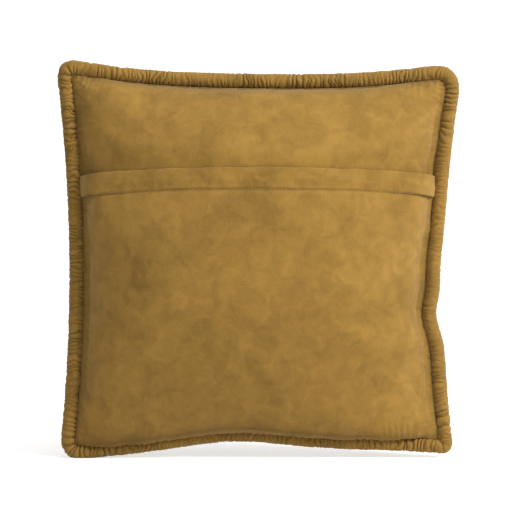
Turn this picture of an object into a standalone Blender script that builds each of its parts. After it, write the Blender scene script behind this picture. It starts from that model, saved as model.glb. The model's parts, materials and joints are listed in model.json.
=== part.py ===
"""Square throw pillow: a velvet cover with fat shirred piping and a lapped zip across its back,
round a filled insert. Metres, +Z up. The back, with the zip, faces -Y, and the pillow stands on Z = 0.
"""

import math

import bmesh
import bpy

# Overall sizes. The width and height are between the corners' tips, before they are rounded.
WIDTH = 0.5105
HEIGHT = 0.5040
THICKNESS = 0.152
# How much higher each face would stand if its crown were not flattened where it lies.
CROWN_FLATTENING = 0.008
# How far below the crown the dome still settles onto its flat.
CROWN_SETTLE = 0.0020

# Corners, each as how far it is drawn in from the square in X and in Z, and its outer radius.
BOTTOM_LEFT = (0.003, 0.000, 0.026)
BOTTOM_RIGHT = (0.011, 0.009, 0.022)
TOP_RIGHT = (0.000, 0.005, 0.035)
TOP_LEFT = (0.000, 0.000, 0.024)
# A corner's curve leaves the sides this many radii from the corner's tip.
CORNER_CUT = 1.3
# How far the middle of each side is pulled in by the filling.
BOTTOM_BOW = 0.0165
RIGHT_BOW = 0.0195
TOP_BOW = 0.0115
LEFT_BOW = 0.0145

# Piping: a cord in a gathered cover, whose two flange leaves lie in the seam.
PIPING_DIAMETER = 0.0190
PIPING_COVER = 0.0015
FLANGE_DEPTH = 0.0120
FLANGE_LEAF = 0.0008
FLANGE_SLOT = 0.0005

# Cloth and thread.
VELVET = 0.0012
HEM = 0.0024
THREAD_RADIUS = 0.00035
CLEARANCE = 0.0003

# Zip and the lap over it. Heights are along the cloth, counted up from the middle of the zip.
ZIP_BELOW_TOP = 0.1485
ZIP_TILT = math.radians(9.0)
ZIP_SINK = 0.0070
ZIP_END_RUN = 0.0250
TOPSTITCH_BELOW_ZIP = 0.0140
LAP_ABOVE_ZIP = 0.0110
LAP_THICKNESS = 0.0020
HEM_BESIDE_SLIDER = 0.0006
TAPE_WIDTH = 0.0160
TAPE_THICKNESS = 0.0006
TAPE_SPLIT = 0.0016
COIL_SPLIT = 0.0006
COIL_WIDTH = 0.0027
COIL_HEIGHT = 0.0020
SLIDER_LENGTH = 0.0110
SLIDER_PLATE = 0.0009
SLIDER_FLANGE = 0.0011
SLIDER_POST_LENGTH = 0.0025
SLIDER_POST_WIDTH = 0.0009
BRIDGE_LENGTH = 0.0056
BRIDGE_WIDTH = 0.0016
BRIDGE_ROOM = 0.0013
BRIDGE_BAR = 0.00055
TAB_LENGTH = 0.0240
TAB_WIDTH = 0.0054
TAB_THICKNESS = 0.0008
STOP_LENGTH = 0.0020
ZIP_END_MARGIN = 0.0080

# Insert.
INSERT_EDGE_INSET = 0.0160
INSERT_SLACK = 0.0040
INSERT_CLOTH = 0.0006

# Care label, sewn into the left seam inside the cover.
LABEL_WIDTH = 0.0300
LABEL_HEIGHT_UP = 0.1100
LABEL_THICKNESS = 0.0004

# How finely the shapes are divided.
COVER_CELLS = 14
INSERT_CELLS = 12
PIPE_SIDES = 10
THREAD_SIDES = 5

# Colours.
VELVET_COLOUR = (0.42, 0.25, 0.06)
THREAD_COLOUR = (0.36, 0.21, 0.05)
ZIP_COLOUR = (0.30, 0.19, 0.07)
INSERT_COLOUR = (0.85, 0.84, 0.80)

# How far from the zip, as shares of the height, the panels' plain domes begin.
LOWER_TOP_SHARE = 0.06
UPPER_LOW_SHARE = 0.09
# How far short of the side seams the lap stops, and over what run it settles there.
LAP_END_GAP = 0.0045
LAP_SETTLE = 0.0120
TOPSTITCH_IN_FROM_EDGE = 0.0015
# How far above and below the zip the insert is pressed in.
PRESSED_REACH = 0.065
# A cloth's two skins start this many thicknesses apart at the seam.
SIDE_WALL = 1.15
# How far in from the piping the label's bends lie, and how far each stands off the flange.
LABEL_PATH = ((0.0062, 0.0), (0.0090, 0.0), (0.0106, 0.0055), (0.0132, 0.0130))

# Values that follow from those above.
PIPING_RADIUS = PIPING_DIAMETER / 2
CORD_RADIUS = PIPING_RADIUS - PIPING_COVER - 2.5 * CLEARANCE
FLANGE_HALF = FLANGE_SLOT / 2 + FLANGE_LEAF
PANEL_INSET = PIPING_DIAMETER + CLEARANCE
RIM_Y = FLANGE_HALF + CLEARANCE
CROWN_Y = THICKNESS / 2
DOME_Y = CROWN_Y + CROWN_FLATTENING

COIL_OUT = COIL_HEIGHT / 2
TAPE_OUT = -COIL_OUT - CLEARANCE
TAPE_IN = TAPE_OUT - TAPE_THICKNESS
# The panels' wide facets lie this far inside the zip's curve at most.
FACET_SAG = 0.0042 * THICKNESS
HEM_IN = TAPE_OUT + CLEARANCE + FACET_SAG
HEM_OUT = HEM_IN + HEM
PLATE_TOP_IN = COIL_OUT + CLEARANCE
PLATE_TOP_OUT = PLATE_TOP_IN + SLIDER_PLATE
PLATE_LOW_OUT = TAPE_IN - CLEARANCE
PLATE_LOW_IN = PLATE_LOW_OUT - SLIDER_PLATE
TAB_MIDDLE = PLATE_TOP_OUT + BRIDGE_ROOM / 2
BRIDGE_OUT = PLATE_TOP_OUT + BRIDGE_ROOM + BRIDGE_BAR
COIL_SIDE = COIL_SPLIT / 2 + COIL_WIDTH
SLIDER_HALF_WIDTH = COIL_SIDE + CLEARANCE + SLIDER_FLANGE
UPPER_HEM_ABOVE_ZIP = SLIDER_HALF_WIDTH + HEM_BESIDE_SLIDER


# What brings the rounded outline's middle to X = 0 and its lowest point to Z = 0.
SHIFT = (0.0, 0.0)


def corner_points(inset):
    """The corners, anticlockwise from bottom left as seen from -Y, as (x, z, radius)."""
    placed = (
        (-1, SHIFT[1], 1, BOTTOM_LEFT),
        (1, SHIFT[1], 1, BOTTOM_RIGHT),
        (1, HEIGHT + SHIFT[1], -1, TOP_RIGHT),
        (-1, HEIGHT + SHIFT[1], -1, TOP_LEFT),
    )
    corners = []
    for side, level, up, (in_x, in_z, radius) in placed:
        x = SHIFT[0] + side * (WIDTH / 2 - in_x - inset)
        z = level + up * (in_z + inset)
        corners.append((x, z, max(radius - inset, 0.001)))
    return corners


def side_point(side, share, inset):
    """A point on one side, 0 bottom, 1 right, 2 top, 3 left, from the middle of its first corner's
    curve to the middle of its second's. The bottom and top run to +X, and the left and right to +Z.
    """
    corners = corner_points(inset)
    bows = (BOTTOM_BOW, RIGHT_BOW, TOP_BOW, LEFT_BOW)
    first, second = ((0, 1), (1, 2), (3, 2), (0, 3))[side]
    inward = ((0, 1), (-1, 0), (0, -1), (1, 0))[side]
    ax, az, start_radius = corners[first]
    bx, bz, end_radius = corners[second]
    length = math.hypot(bx - ax, bz - az)

    def bowed(t):
        pull = 4 * bows[side] * t * (1 - t)
        return (
            ax + (bx - ax) * t + inward[0] * pull,
            az + (bz - az) * t + inward[1] * pull,
        )

    def rounded(corner, cut_share, along):
        # Half of a curve that starts a cut away from the corner on its other side.
        before = other_cut(side, corner, inset)
        after = bowed(cut_share if corner == first else 1 - cut_share)
        b = 0.5 + 0.5 * along
        tip = corners[corner][:2]
        return tuple(
            (1 - b) ** 2 * before[k] + 2 * b * (1 - b) * tip[k] + b * b * after[k] for k in (0, 1)
        )

    start_cut = CORNER_CUT * start_radius / length
    end_cut = CORNER_CUT * end_radius / length
    if share < start_cut:
        return rounded(first, start_cut, share / start_cut)
    if share > 1 - end_cut:
        return rounded(second, end_cut, (1 - share) / end_cut)
    return bowed(share)


def other_cut(side, corner, inset):
    """Where the curve at a corner leaves the other side that meets there."""
    corners = corner_points(inset)
    bows = (BOTTOM_BOW, RIGHT_BOW, TOP_BOW, LEFT_BOW)
    ends = ((0, 1), (1, 2), (3, 2), (0, 3))
    inward = ((0, 1), (-1, 0), (0, -1), (1, 0))
    other = next(k for k in range(4) if k != side and corner in ends[k])
    first, second = ends[other]
    ax, az, _ = corners[first]
    bx, bz, _ = corners[second]
    length = math.hypot(bx - ax, bz - az)
    cut = CORNER_CUT * corners[corner][2] / length
    t = cut if corner == first else 1 - cut
    pull = 4 * bows[other] * t * (1 - t)
    return (
        ax + (bx - ax) * t + inward[other][0] * pull,
        az + (bz - az) * t + inward[other][1] * pull,
    )


def shares(cells):
    """Places from 0 to 1, closer together towards both ends."""
    return [0.5 + 0.5 * math.sin(math.pi * (k / cells - 0.5)) for k in range(cells + 1)]


def outline(inset, cells=COVER_CELLS):
    """The closed outline at an inset from the pillow's outer edge, anticlockwise as (x, z)."""
    steps = shares(cells)
    points = [side_point(0, t, inset) for t in steps[:-1]]
    points += [side_point(1, t, inset) for t in steps[:-1]]
    points += [side_point(2, t, inset) for t in reversed(steps[1:])]
    points += [side_point(3, t, inset) for t in reversed(steps[1:])]
    return points


def centring():
    edge = outline(0.0)
    across = [x for x, _ in edge]
    return (-(min(across) + max(across)) / 2, -min(z for _, z in edge))


SHIFT = centring()


def plan_point(s, t, inset):
    """A place on the sheet that fills the outline, from 0 to 1 each way, as (x, z)."""
    low, high = side_point(0, s, inset), side_point(2, s, inset)
    left, right = side_point(3, t, inset), side_point(1, t, inset)
    ends = [side_point(side, share, inset) for side in (0, 2) for share in (0, 1)]
    point = []
    for k in (0, 1):
        ruled = (1 - t) * low[k] + t * high[k] + (1 - s) * left[k] + s * right[k]
        lower = (1 - s) * ends[0][k] + s * ends[1][k]
        upper = (1 - s) * ends[2][k] + s * ends[3][k]
        point.append(ruled - (1 - t) * lower - t * upper)
    return tuple(point)


def dome(s, t):
    """The share of the full height that a face reaches, 0 at the seam and 1 in the middle."""
    u, v = 2 * s - 1, 2 * t - 1
    return math.sqrt(max(0.0, 1 - u * u) * max(0.0, 1 - v * v))


class Skin:
    """One surface of a face: how far in from the pillow's edge it starts, and how high it stands."""

    def __init__(self, inset, rim, full, crown, settle=0.0):
        self.inset = inset
        self.rim = rim
        self.full = full
        self.crown = crown
        self.settle = settle

    def height(self, s, t):
        height = self.rim + (self.full - self.rim) * dome(s, t)
        return self.crown if height > self.crown - self.settle else height

    def point(self, s, t, face):
        """face is 1 on the front, towards +Y, and -1 on the back."""
        x, z = plan_point(s, t, self.inset)
        return (x, face * self.height(s, t), z)


PANEL_OUTER = Skin(PANEL_INSET, RIM_Y + VELVET, DOME_Y, CROWN_Y, CROWN_SETTLE)
PLAIN_DOME = Skin(PANEL_INSET, RIM_Y + VELVET, DOME_Y, CROWN_Y)
PANEL_INNER = Skin(
    PANEL_INSET + SIDE_WALL * VELVET, RIM_Y, DOME_Y - VELVET, CROWN_Y - VELVET, CROWN_SETTLE
)
INSERT_INSET = PIPING_DIAMETER + INSERT_EDGE_INSET
INSERT_TOP = CROWN_Y - VELVET - CLEARANCE
INSERT_FULL = DOME_Y - VELVET - CLEARANCE - INSERT_SLACK
INSERT_OUTER = Skin(INSERT_INSET, CLEARANCE / 2 + INSERT_CLOTH, INSERT_FULL, INSERT_TOP)
INSERT_INNER = Skin(
    INSERT_INSET + SIDE_WALL * INSERT_CLOTH,
    CLEARANCE / 2,
    INSERT_FULL - INSERT_CLOTH,
    INSERT_TOP - INSERT_CLOTH,
)
FILLING_SKIN = Skin(
    INSERT_INSET + SIDE_WALL * INSERT_CLOTH + 2 * CLEARANCE,
    CLEARANCE / 3,
    INSERT_FULL - INSERT_CLOTH - CLEARANCE,
    INSERT_TOP - INSERT_CLOTH - CLEARANCE,
)


def share_at_height(side, z, inset):
    """Where the left or right side reaches a height."""
    low, high = 0.0, 1.0
    for _ in range(40):
        middle = (low + high) / 2
        if side_point(side, middle, inset)[1] < z:
            low = middle
        else:
            high = middle
    return (low + high) / 2


class ZipLine:
    """The line of the zip in its own tilted plane: one long arc, about whose centre the slider turns,
    and a tighter arc at each end, down to the side seam. A place is (along X, outward, up).
    """

    def __init__(self):
        self.outward = (0.0, -math.cos(ZIP_TILT), math.sin(ZIP_TILT))
        self.up = (0.0, math.sin(ZIP_TILT), math.cos(ZIP_TILT))
        middle_z = HEIGHT + SHIFT[1] - ZIP_BELOW_TOP
        share = share_at_height(3, middle_z, PANEL_INSET)
        middle_y = PLAIN_DOME.height(0.5, share) - ZIP_SINK
        self.base_z = middle_z - middle_y * math.tan(ZIP_TILT)
        self.share = share_at_height(3, self.base_z, PANEL_INSET)
        left = side_point(3, self.share, PANEL_INSET)[0]
        right = side_point(1, self.share, PANEL_INSET)[0]
        self.middle_x = (left + right) / 2
        self.half = (right - left) / 2
        self.top = middle_y / math.cos(ZIP_TILT)
        self.arc_x = self.half - ZIP_END_RUN
        end_share = 0.5 + 0.5 * self.arc_x / self.half
        self.arc_end = PLAIN_DOME.height(end_share, self.share) - ZIP_SINK
        drop = self.top - self.arc_end
        self.radius = (self.arc_x**2 + drop**2) / (2 * drop)
        self.arc_angle = math.asin(self.arc_x / self.radius)
        # The end arc leaves the long one in line and comes down beside the seam.
        self.end_x = self.half - HEM_OUT
        run = self.end_x - self.arc_x
        fall = RIM_Y + CLEARANCE - self.arc_end
        inward = (-math.sin(self.arc_angle), -math.cos(self.arc_angle))
        self.end_radius = (run**2 + fall**2) / (2 * (run * inward[0] + fall * inward[1]))
        self.end_centre = (
            self.arc_x + self.end_radius * inward[0],
            self.arc_end + self.end_radius * inward[1],
        )

    def world(self, along, outward, up):
        x = self.middle_x + along
        y = outward * self.outward[1] + up * self.up[1]
        z = self.base_z + outward * self.outward[2] + up * self.up[2]
        return (x, y, z)

    def centre(self):
        return self.world(0.0, self.top - self.radius, 0.0)

    def at(self, along, level, up):
        """A place level outside the line, where the line itself is at this X."""
        side = math.copysign(1.0, along)
        distance = min(abs(along), self.end_x)
        if distance <= self.arc_x:
            sine = distance / self.radius
            cosine = math.sqrt(1 - sine * sine)
            base = (distance, self.top - self.radius + self.radius * cosine)
        else:
            sine = min(1.0, (distance - self.end_centre[0]) / self.end_radius)
            cosine = math.sqrt(1 - sine * sine)
            base = (distance, self.end_centre[1] + self.end_radius * cosine)
        return self.world(side * (base[0] + level * sine), base[1] + level * cosine, up)

    def on_arc(self, length, level, up):
        """A place by its distance along the long arc from its middle."""
        angle = length / self.radius
        reach = self.radius + level
        return self.world(
            reach * math.sin(angle), self.top - self.radius + reach * math.cos(angle), up
        )


ZIP = ZipLine()
ARC_LENGTH = ZIP.radius * ZIP.arc_angle
CHAIN_END = ARC_LENGTH - ZIP_END_MARGIN
# The closed slider's middle, and its middle when it is fully open, along the arc.
SLIDER_CLOSED = -CHAIN_END + STOP_LENGTH + CLEARANCE + SLIDER_LENGTH / 2
SLIDER_OPEN = CHAIN_END - STOP_LENGTH - CLEARANCE - SLIDER_LENGTH / 2
CHAIN_START = SLIDER_CLOSED - SLIDER_LENGTH / 2 + SLIDER_POST_LENGTH + CLEARANCE
CHAIN_STOP = CHAIN_END - STOP_LENGTH - CLEARANCE


def clear_scene():
    for thing in list(bpy.data.objects):
        bpy.data.objects.remove(thing, do_unlink=True)


def finish(name, colour, roughness, metallic=0.0, sheen=0.0):
    """A material for one sub-part."""
    material = bpy.data.materials.new(name)
    material.use_nodes = True
    shader = material.node_tree.nodes["Principled BSDF"]
    shader.inputs["Base Color"].default_value = (*colour, 1.0)
    shader.inputs["Roughness"].default_value = roughness
    shader.inputs["Metallic"].default_value = metallic
    shader.inputs["Sheen Weight"].default_value = sheen
    material.diffuse_color = (*colour, 1.0)
    return material


def add_object(name, points, faces, material, smooth=True):
    mesh = bpy.data.meshes.new(name)
    mesh.from_pydata(points, [], faces)
    shape = bmesh.new()
    shape.from_mesh(mesh)
    bmesh.ops.recalc_face_normals(shape, faces=shape.faces)
    shape.to_mesh(mesh)
    shape.free()
    if smooth:
        mesh.shade_smooth()
        mesh.set_sharp_from_angle(angle=math.radians(40))
    thing = bpy.data.objects.new(name, mesh)
    bpy.context.collection.objects.link(thing)
    mesh.materials.append(material)
    return thing


def sheet_faces(columns, rows, start, flip):
    """Triangles over a grid of points, split so that the diagonals run towards the corners."""
    faces = []
    for j in range(rows - 1):
        for i in range(columns - 1):
            a = start + j * columns + i
            b, c, d = a + 1, a + 1 + columns, a + columns
            same = (2 * i < columns - 1) == (2 * j < rows - 1)
            pair = [(a, b, c), (a, c, d)] if same else [(a, b, d), (b, c, d)]
            faces += [tuple(reversed(f)) for f in pair] if flip else pair
    return faces


def rim_indices(columns, rows, start):
    """The border of a grid of points, in order round it."""
    low = [start + i for i in range(columns)]
    right = [start + j * columns + columns - 1 for j in range(1, rows)]
    high = [start + (rows - 1) * columns + i for i in range(columns - 2, -1, -1)]
    left = [start + j * columns for j in range(rows - 2, 0, -1)]
    return low + right + high + left


def two_sheets(name, outer_rows, inner_rows, face, material):
    """A solid between two grids of points with the same rows and columns. face is the side, 1 for
    +Y and -1 for -Y, that the first grid is on."""
    rows, columns = len(outer_rows), len(outer_rows[0])
    points = [p for row in outer_rows for p in row] + [p for row in inner_rows for p in row]
    count = rows * columns
    faces = sheet_faces(columns, rows, 0, face > 0)
    faces += sheet_faces(columns, rows, count, face < 0)
    outer_rim = rim_indices(columns, rows, 0)
    inner_rim = rim_indices(columns, rows, count)
    for k, here in enumerate(outer_rim):
        ahead = (k + 1) % len(outer_rim)
        side = [
            (here, inner_rim[k], inner_rim[ahead]),
            (here, inner_rim[ahead], outer_rim[ahead]),
        ]
        faces += [tuple(reversed(f)) for f in side] if face > 0 else side
    return add_object(name, points, faces, material)


def ring_solid(name, section, material, cells=COVER_CELLS):
    """A closed ring round the pillow, from its section's points (inset, y), in order round it."""
    loops = [[(x, y, z) for x, z in outline(inset, cells)] for inset, y in section]
    count, length = len(section), len(loops[0])
    points = [p for loop in loops for p in loop]
    faces = []
    for k in range(count):
        ahead = (k + 1) % count
        for i in range(length):
            j = (i + 1) % length
            a, b = k * length + i, k * length + j
            c, d = ahead * length + j, ahead * length + i
            faces += [(a, b, c), (a, c, d)]
    return add_object(name, points, faces, material)


def swept_solid(name, stations, material, smooth=True):
    """A solid from sections with the same number of points, in order along it, closed at its ends."""
    count = len(stations[0])
    points = [p for section in stations for p in section]
    faces = []
    for k in range(len(stations) - 1):
        for i in range(count):
            j = (i + 1) % count
            a, b = k * count + i, k * count + j
            c, d = a + count, b + count
            faces += [(a, c, d), (a, d, b)]
    last = (len(stations) - 1) * count
    faces.append(tuple(range(count)))
    faces.append(tuple(last + i for i in reversed(range(count))))
    return add_object(name, points, faces, material, smooth)


def spread(start, end, cells):
    return [start + (end - start) * k / cells for k in range(cells + 1)]


def back_row(skin, level, up, columns):
    """A row of a back panel along the zip, with its ends at the side seams."""
    row = []
    seam_z = ZIP.world(0.0, skin.rim, up)[2]
    for s in columns:
        along = (2 * s - 1) * ZIP.end_x
        row.append(ZIP.at(along, level, up))
    for end, side in ((0, 3), (-1, 1)):
        share = share_at_height(side, seam_z, skin.inset)
        x, z = side_point(side, share, skin.inset)
        row[end] = (x, -skin.rim, z)
    return row


def face_row(skin, t, face, columns):
    return [skin.point(s, t, face) for s in columns]


def front_panel(material):
    columns = shares(COVER_CELLS)
    outer = [face_row(PANEL_OUTER, t, 1, columns) for t in columns]
    inner = [face_row(PANEL_INNER, t, 1, columns) for t in columns]
    two_sheets("front_panel", outer, inner, 1, material)


def edge_shares(cells):
    """Places from 0 to 1, closer together towards 0."""
    return [1 - math.cos(math.pi / 2 * k / cells) for k in range(cells + 1)]


def back_lower_panel(material):
    columns = shares(COVER_CELLS)
    heights = [k * (ZIP.share - LOWER_TOP_SHARE) for k in edge_shares(8)]
    edge = -TOPSTITCH_BELOW_ZIP - CLEARANCE
    outer = [face_row(PANEL_OUTER, t, -1, columns) for t in heights]
    inner = [face_row(PANEL_INNER, t, -1, columns) for t in heights]
    outer.append(back_row(PANEL_OUTER, HEM_OUT, edge, columns))
    inner.append(back_row(PANEL_INNER, HEM_IN, edge, columns))
    two_sheets("back_lower_panel", outer, inner, -1, material)


def back_upper_panel(material):
    columns = shares(COVER_CELLS)
    room = 1 - ZIP.share - UPPER_LOW_SHARE
    heights = [1 - k * room for k in reversed(edge_shares(5))]
    hem_top = UPPER_HEM_ABOVE_ZIP + TAPE_WIDTH - COIL_WIDTH
    outer = [
        back_row(PANEL_OUTER, HEM_OUT, UPPER_HEM_ABOVE_ZIP, columns),
        back_row(PANEL_OUTER, HEM_OUT, hem_top, columns),
    ]
    inner = [
        back_row(PANEL_INNER, HEM_IN, UPPER_HEM_ABOVE_ZIP, columns),
        back_row(PANEL_INNER, HEM_IN, hem_top, columns),
    ]
    outer += [face_row(PANEL_OUTER, t, -1, columns) for t in heights]
    inner += [face_row(PANEL_INNER, t, -1, columns) for t in heights]
    two_sheets("back_upper_panel", outer, inner, -1, material)


def circle_section(inset, y, radius, sides):
    section = []
    for k in range(sides):
        angle = 2 * math.pi * k / sides
        section.append((inset + radius * math.cos(angle), y + radius * math.sin(angle)))
    return section


def piping(cover_material, cord_material):
    ring_solid(
        "piping_cord",
        circle_section(PIPING_RADIUS, 0.0, CORD_RADIUS, PIPE_SIDES),
        cord_material,
    )
    angles = [2 * math.pi * k / PIPE_SIDES for k in range(1, PIPE_SIDES)]
    inner_radius = PIPING_RADIUS - PIPING_COVER
    slot, half = FLANGE_SLOT / 2, FLANGE_HALF
    deep = PIPING_DIAMETER + FLANGE_DEPTH
    mouth = PIPING_RADIUS + inner_radius
    outer = [(PIPING_RADIUS * (1 + math.cos(a)), PIPING_RADIUS * math.sin(a)) for a in angles]
    inner = [
        (PIPING_RADIUS + inner_radius * math.cos(a), inner_radius * math.sin(a)) for a in angles
    ]
    section = [(deep, half), (PIPING_DIAMETER, half)]
    section += outer
    section += [(PIPING_DIAMETER, -half), (deep, -half), (deep, -slot), (mouth, -slot)]
    section += list(reversed(inner))
    section += [(mouth, slot), (deep, slot)]
    ring_solid("piping_cover", section, cover_material)


def seam_threads(material):
    lift = FLANGE_HALF + CLEARANCE + THREAD_RADIUS
    inset = PIPING_DIAMETER + 0.65 * FLANGE_DEPTH
    ring_solid(
        "perimeter_seam_thread",
        circle_section(inset, lift, THREAD_RADIUS, THREAD_SIDES),
        material,
    )
    inset = PIPING_DIAMETER + FLANGE_DEPTH + CLEARANCE + THREAD_RADIUS
    ring_solid(
        "seam_overlock_thread",
        circle_section(inset, 0.0, THREAD_RADIUS, THREAD_SIDES),
        material,
    )


def line_places(reach, cells=28):
    """Places across the pillow, a little closer together towards both ends."""
    return [reach * math.sin(math.pi / 2 * (0.85 * p)) / math.sin(math.pi / 2 * 0.85)
            for p in spread(-1.0, 1.0, cells)]


def zip_strip(name, low, high, level_in, level_out, reach, material):
    """A flat strip along the zip."""
    stations = []
    for place in line_places(reach):
        stations.append(
            [
                ZIP.at(place, level_in, low),
                ZIP.at(place, level_in, high),
                ZIP.at(place, level_out, high),
                ZIP.at(place, level_out, low),
            ]
        )
    swept_solid(name, stations, material)


def lap_profile(raised):
    """The lap's inner side, as (up, level): 1 where it clears the slider, and 0 near its ends."""
    flat = HEM_OUT + 4 * CLEARANCE
    over = BRIDGE_OUT + CLEARANCE
    hang = HEM_OUT + CLEARANCE
    half = SLIDER_HALF_WIDTH
    places = [
        (-TOPSTITCH_BELOW_ZIP, HEM_IN, HEM_IN),
        (-2.0 * half, 0.35 * flat, 0.4 * over),
        (-1.1 * half, flat * 0.75, 0.93 * over),
        (0.0, flat, over),
        (1.1 * half, flat, 0.95 * over),
        (LAP_ABOVE_ZIP, hang, hang + CLEARANCE),
    ]
    return [(up, low + (high - low) * raised) for up, low, high in places]


def lap_raise(place):
    """How far the lap is lifted over the chain at a place across the pillow."""
    past = (abs(place) - ZIP.radius * math.sin(CHAIN_END / ZIP.radius)) / LAP_SETTLE
    return max(0.0, min(1.0, 1.0 - past))


def placket_lap(material):
    stations = []
    for place in line_places(ZIP.end_x - LAP_END_GAP, 36):
        inner = lap_profile(lap_raise(place))
        section = [ZIP.at(place, level, up) for up, level in inner]
        section += [ZIP.at(place, level + LAP_THICKNESS, up) for up, level in reversed(inner)]
        stations.append(section)
    swept_solid("placket_lap", stations, material)


def thread_along(name, level_at, up, reach, material, cells=32):
    """A straight row of stitching, as one thread lying on the cloth."""
    stations = []
    for place in line_places(reach, cells):
        section = []
        for k in range(THREAD_SIDES):
            angle = 2 * math.pi * k / THREAD_SIDES
            level = level_at(place) + THREAD_RADIUS * (1 + math.cos(angle)) + CLEARANCE
            section.append(ZIP.at(place, level, up - THREAD_RADIUS * math.sin(angle)))
        stations.append(section)
    swept_solid(name, stations, material)


def lap_outer_level(place, up):
    profile = lap_profile(lap_raise(place))
    for (low, a), (high, b) in zip(profile, profile[1:]):
        if low <= up <= high:
            return a + (b - a) * (up - low) / (high - low) + LAP_THICKNESS
    return profile[-1][1] + LAP_THICKNESS


def placket_threads(material):
    up = -TOPSTITCH_BELOW_ZIP + TOPSTITCH_IN_FROM_EDGE
    low, high = up - THREAD_RADIUS, up + THREAD_RADIUS
    thread_along(
        "placket_topstitch_thread",
        lambda place: max(lap_outer_level(place, low), lap_outer_level(place, high)),
        up,
        ZIP.end_x - LAP_END_GAP,
        material,
    )
    thread_along(
        "zip_upper_seam_thread",
        lambda place: HEM_OUT,
        UPPER_HEM_ABOVE_ZIP + 3 * THREAD_RADIUS,
        ZIP.arc_x - ZIP_END_MARGIN,
        material,
    )


def zip_tapes(material):
    reach = ZIP.arc_x
    split = TAPE_SPLIT / 2
    zip_strip(
        "zipper_upper_tape", split, split + TAPE_WIDTH - CLEARANCE, TAPE_IN, TAPE_OUT, reach, material
    )
    zip_strip(
        "zipper_lower_tape", -TOPSTITCH_BELOW_ZIP, -split, TAPE_IN, TAPE_OUT, reach, material
    )


def coil(name, side, material):
    """One half of the coil, as a bar with rounded shoulders."""
    near, far = COIL_SPLIT / 2, COIL_SIDE
    bevel = COIL_OUT / 2
    outline_points = [
        (near, -COIL_OUT + bevel),
        (near + bevel, -COIL_OUT),
        (far, -COIL_OUT),
        (far, COIL_OUT - bevel),
        (far - bevel, COIL_OUT),
        (near, COIL_OUT),
    ]
    if side < 0:
        outline_points = [(-up, level) for up, level in reversed(outline_points)]
    stations = [
        [ZIP.on_arc(place, level, up) for up, level in outline_points]
        for place in spread(CHAIN_START, CHAIN_STOP, 26)
    ]
    swept_solid(name, stations, material)


def block(lengths, levels, ups, turn_at=None):
    """The eight corners of a block on the zip's arc, square to it at turn_at, as two stations."""
    middle = sum(lengths) / 2 if turn_at is None else turn_at
    angle = middle / ZIP.radius
    cosine, sine = math.cos(angle), math.sin(angle)

    def place(along, level, up):
        reach = ZIP.radius + level
        step = along - middle
        return ZIP.world(
            reach * sine + step * cosine,
            ZIP.top - ZIP.radius + reach * cosine - step * sine,
            up,
        )

    corners = [(levels[0], ups[0]), (levels[0], ups[1]), (levels[1], ups[1]), (levels[1], ups[0])]
    return [[place(along, level, up) for level, up in corners] for along in lengths]


def zip_stops(material):
    start = -CHAIN_END
    split, side = TAPE_SPLIT / 2, COIL_SIDE
    low, high = TAPE_OUT + CLEARANCE, COIL_OUT
    for name, ups in (
        ("zipper_top_stop_upper", (split, side)),
        ("zipper_top_stop_lower", (-side, -split)),
    ):
        swept_solid(name, block((start, start + STOP_LENGTH), (low, high), ups), material, False)
    end = CHAIN_END
    swept_solid(
        "zipper_bottom_stop",
        block((end - STOP_LENGTH, end), (low, high), (-side, side)),
        material,
        False,
    )


def join_all(name, parts):
    """Unites overlapping solids into the first, which keeps its material."""
    base = parts[0]
    for other in parts[1:]:
        cut = base.modifiers.new("unite", "BOOLEAN")
        cut.operation = "UNION"
        cut.solver = "EXACT"
        cut.object = other
        other.hide_render = True
        other.display_type = "WIRE"
    base.name = name
    return base


def move_origin(thing, origin):
    """Puts an object's origin at a place without moving its shape."""
    for vertex in thing.data.vertices:
        vertex.co.x -= origin[0]
        vertex.co.y -= origin[1]
        vertex.co.z -= origin[2]
    thing.location = origin


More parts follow.
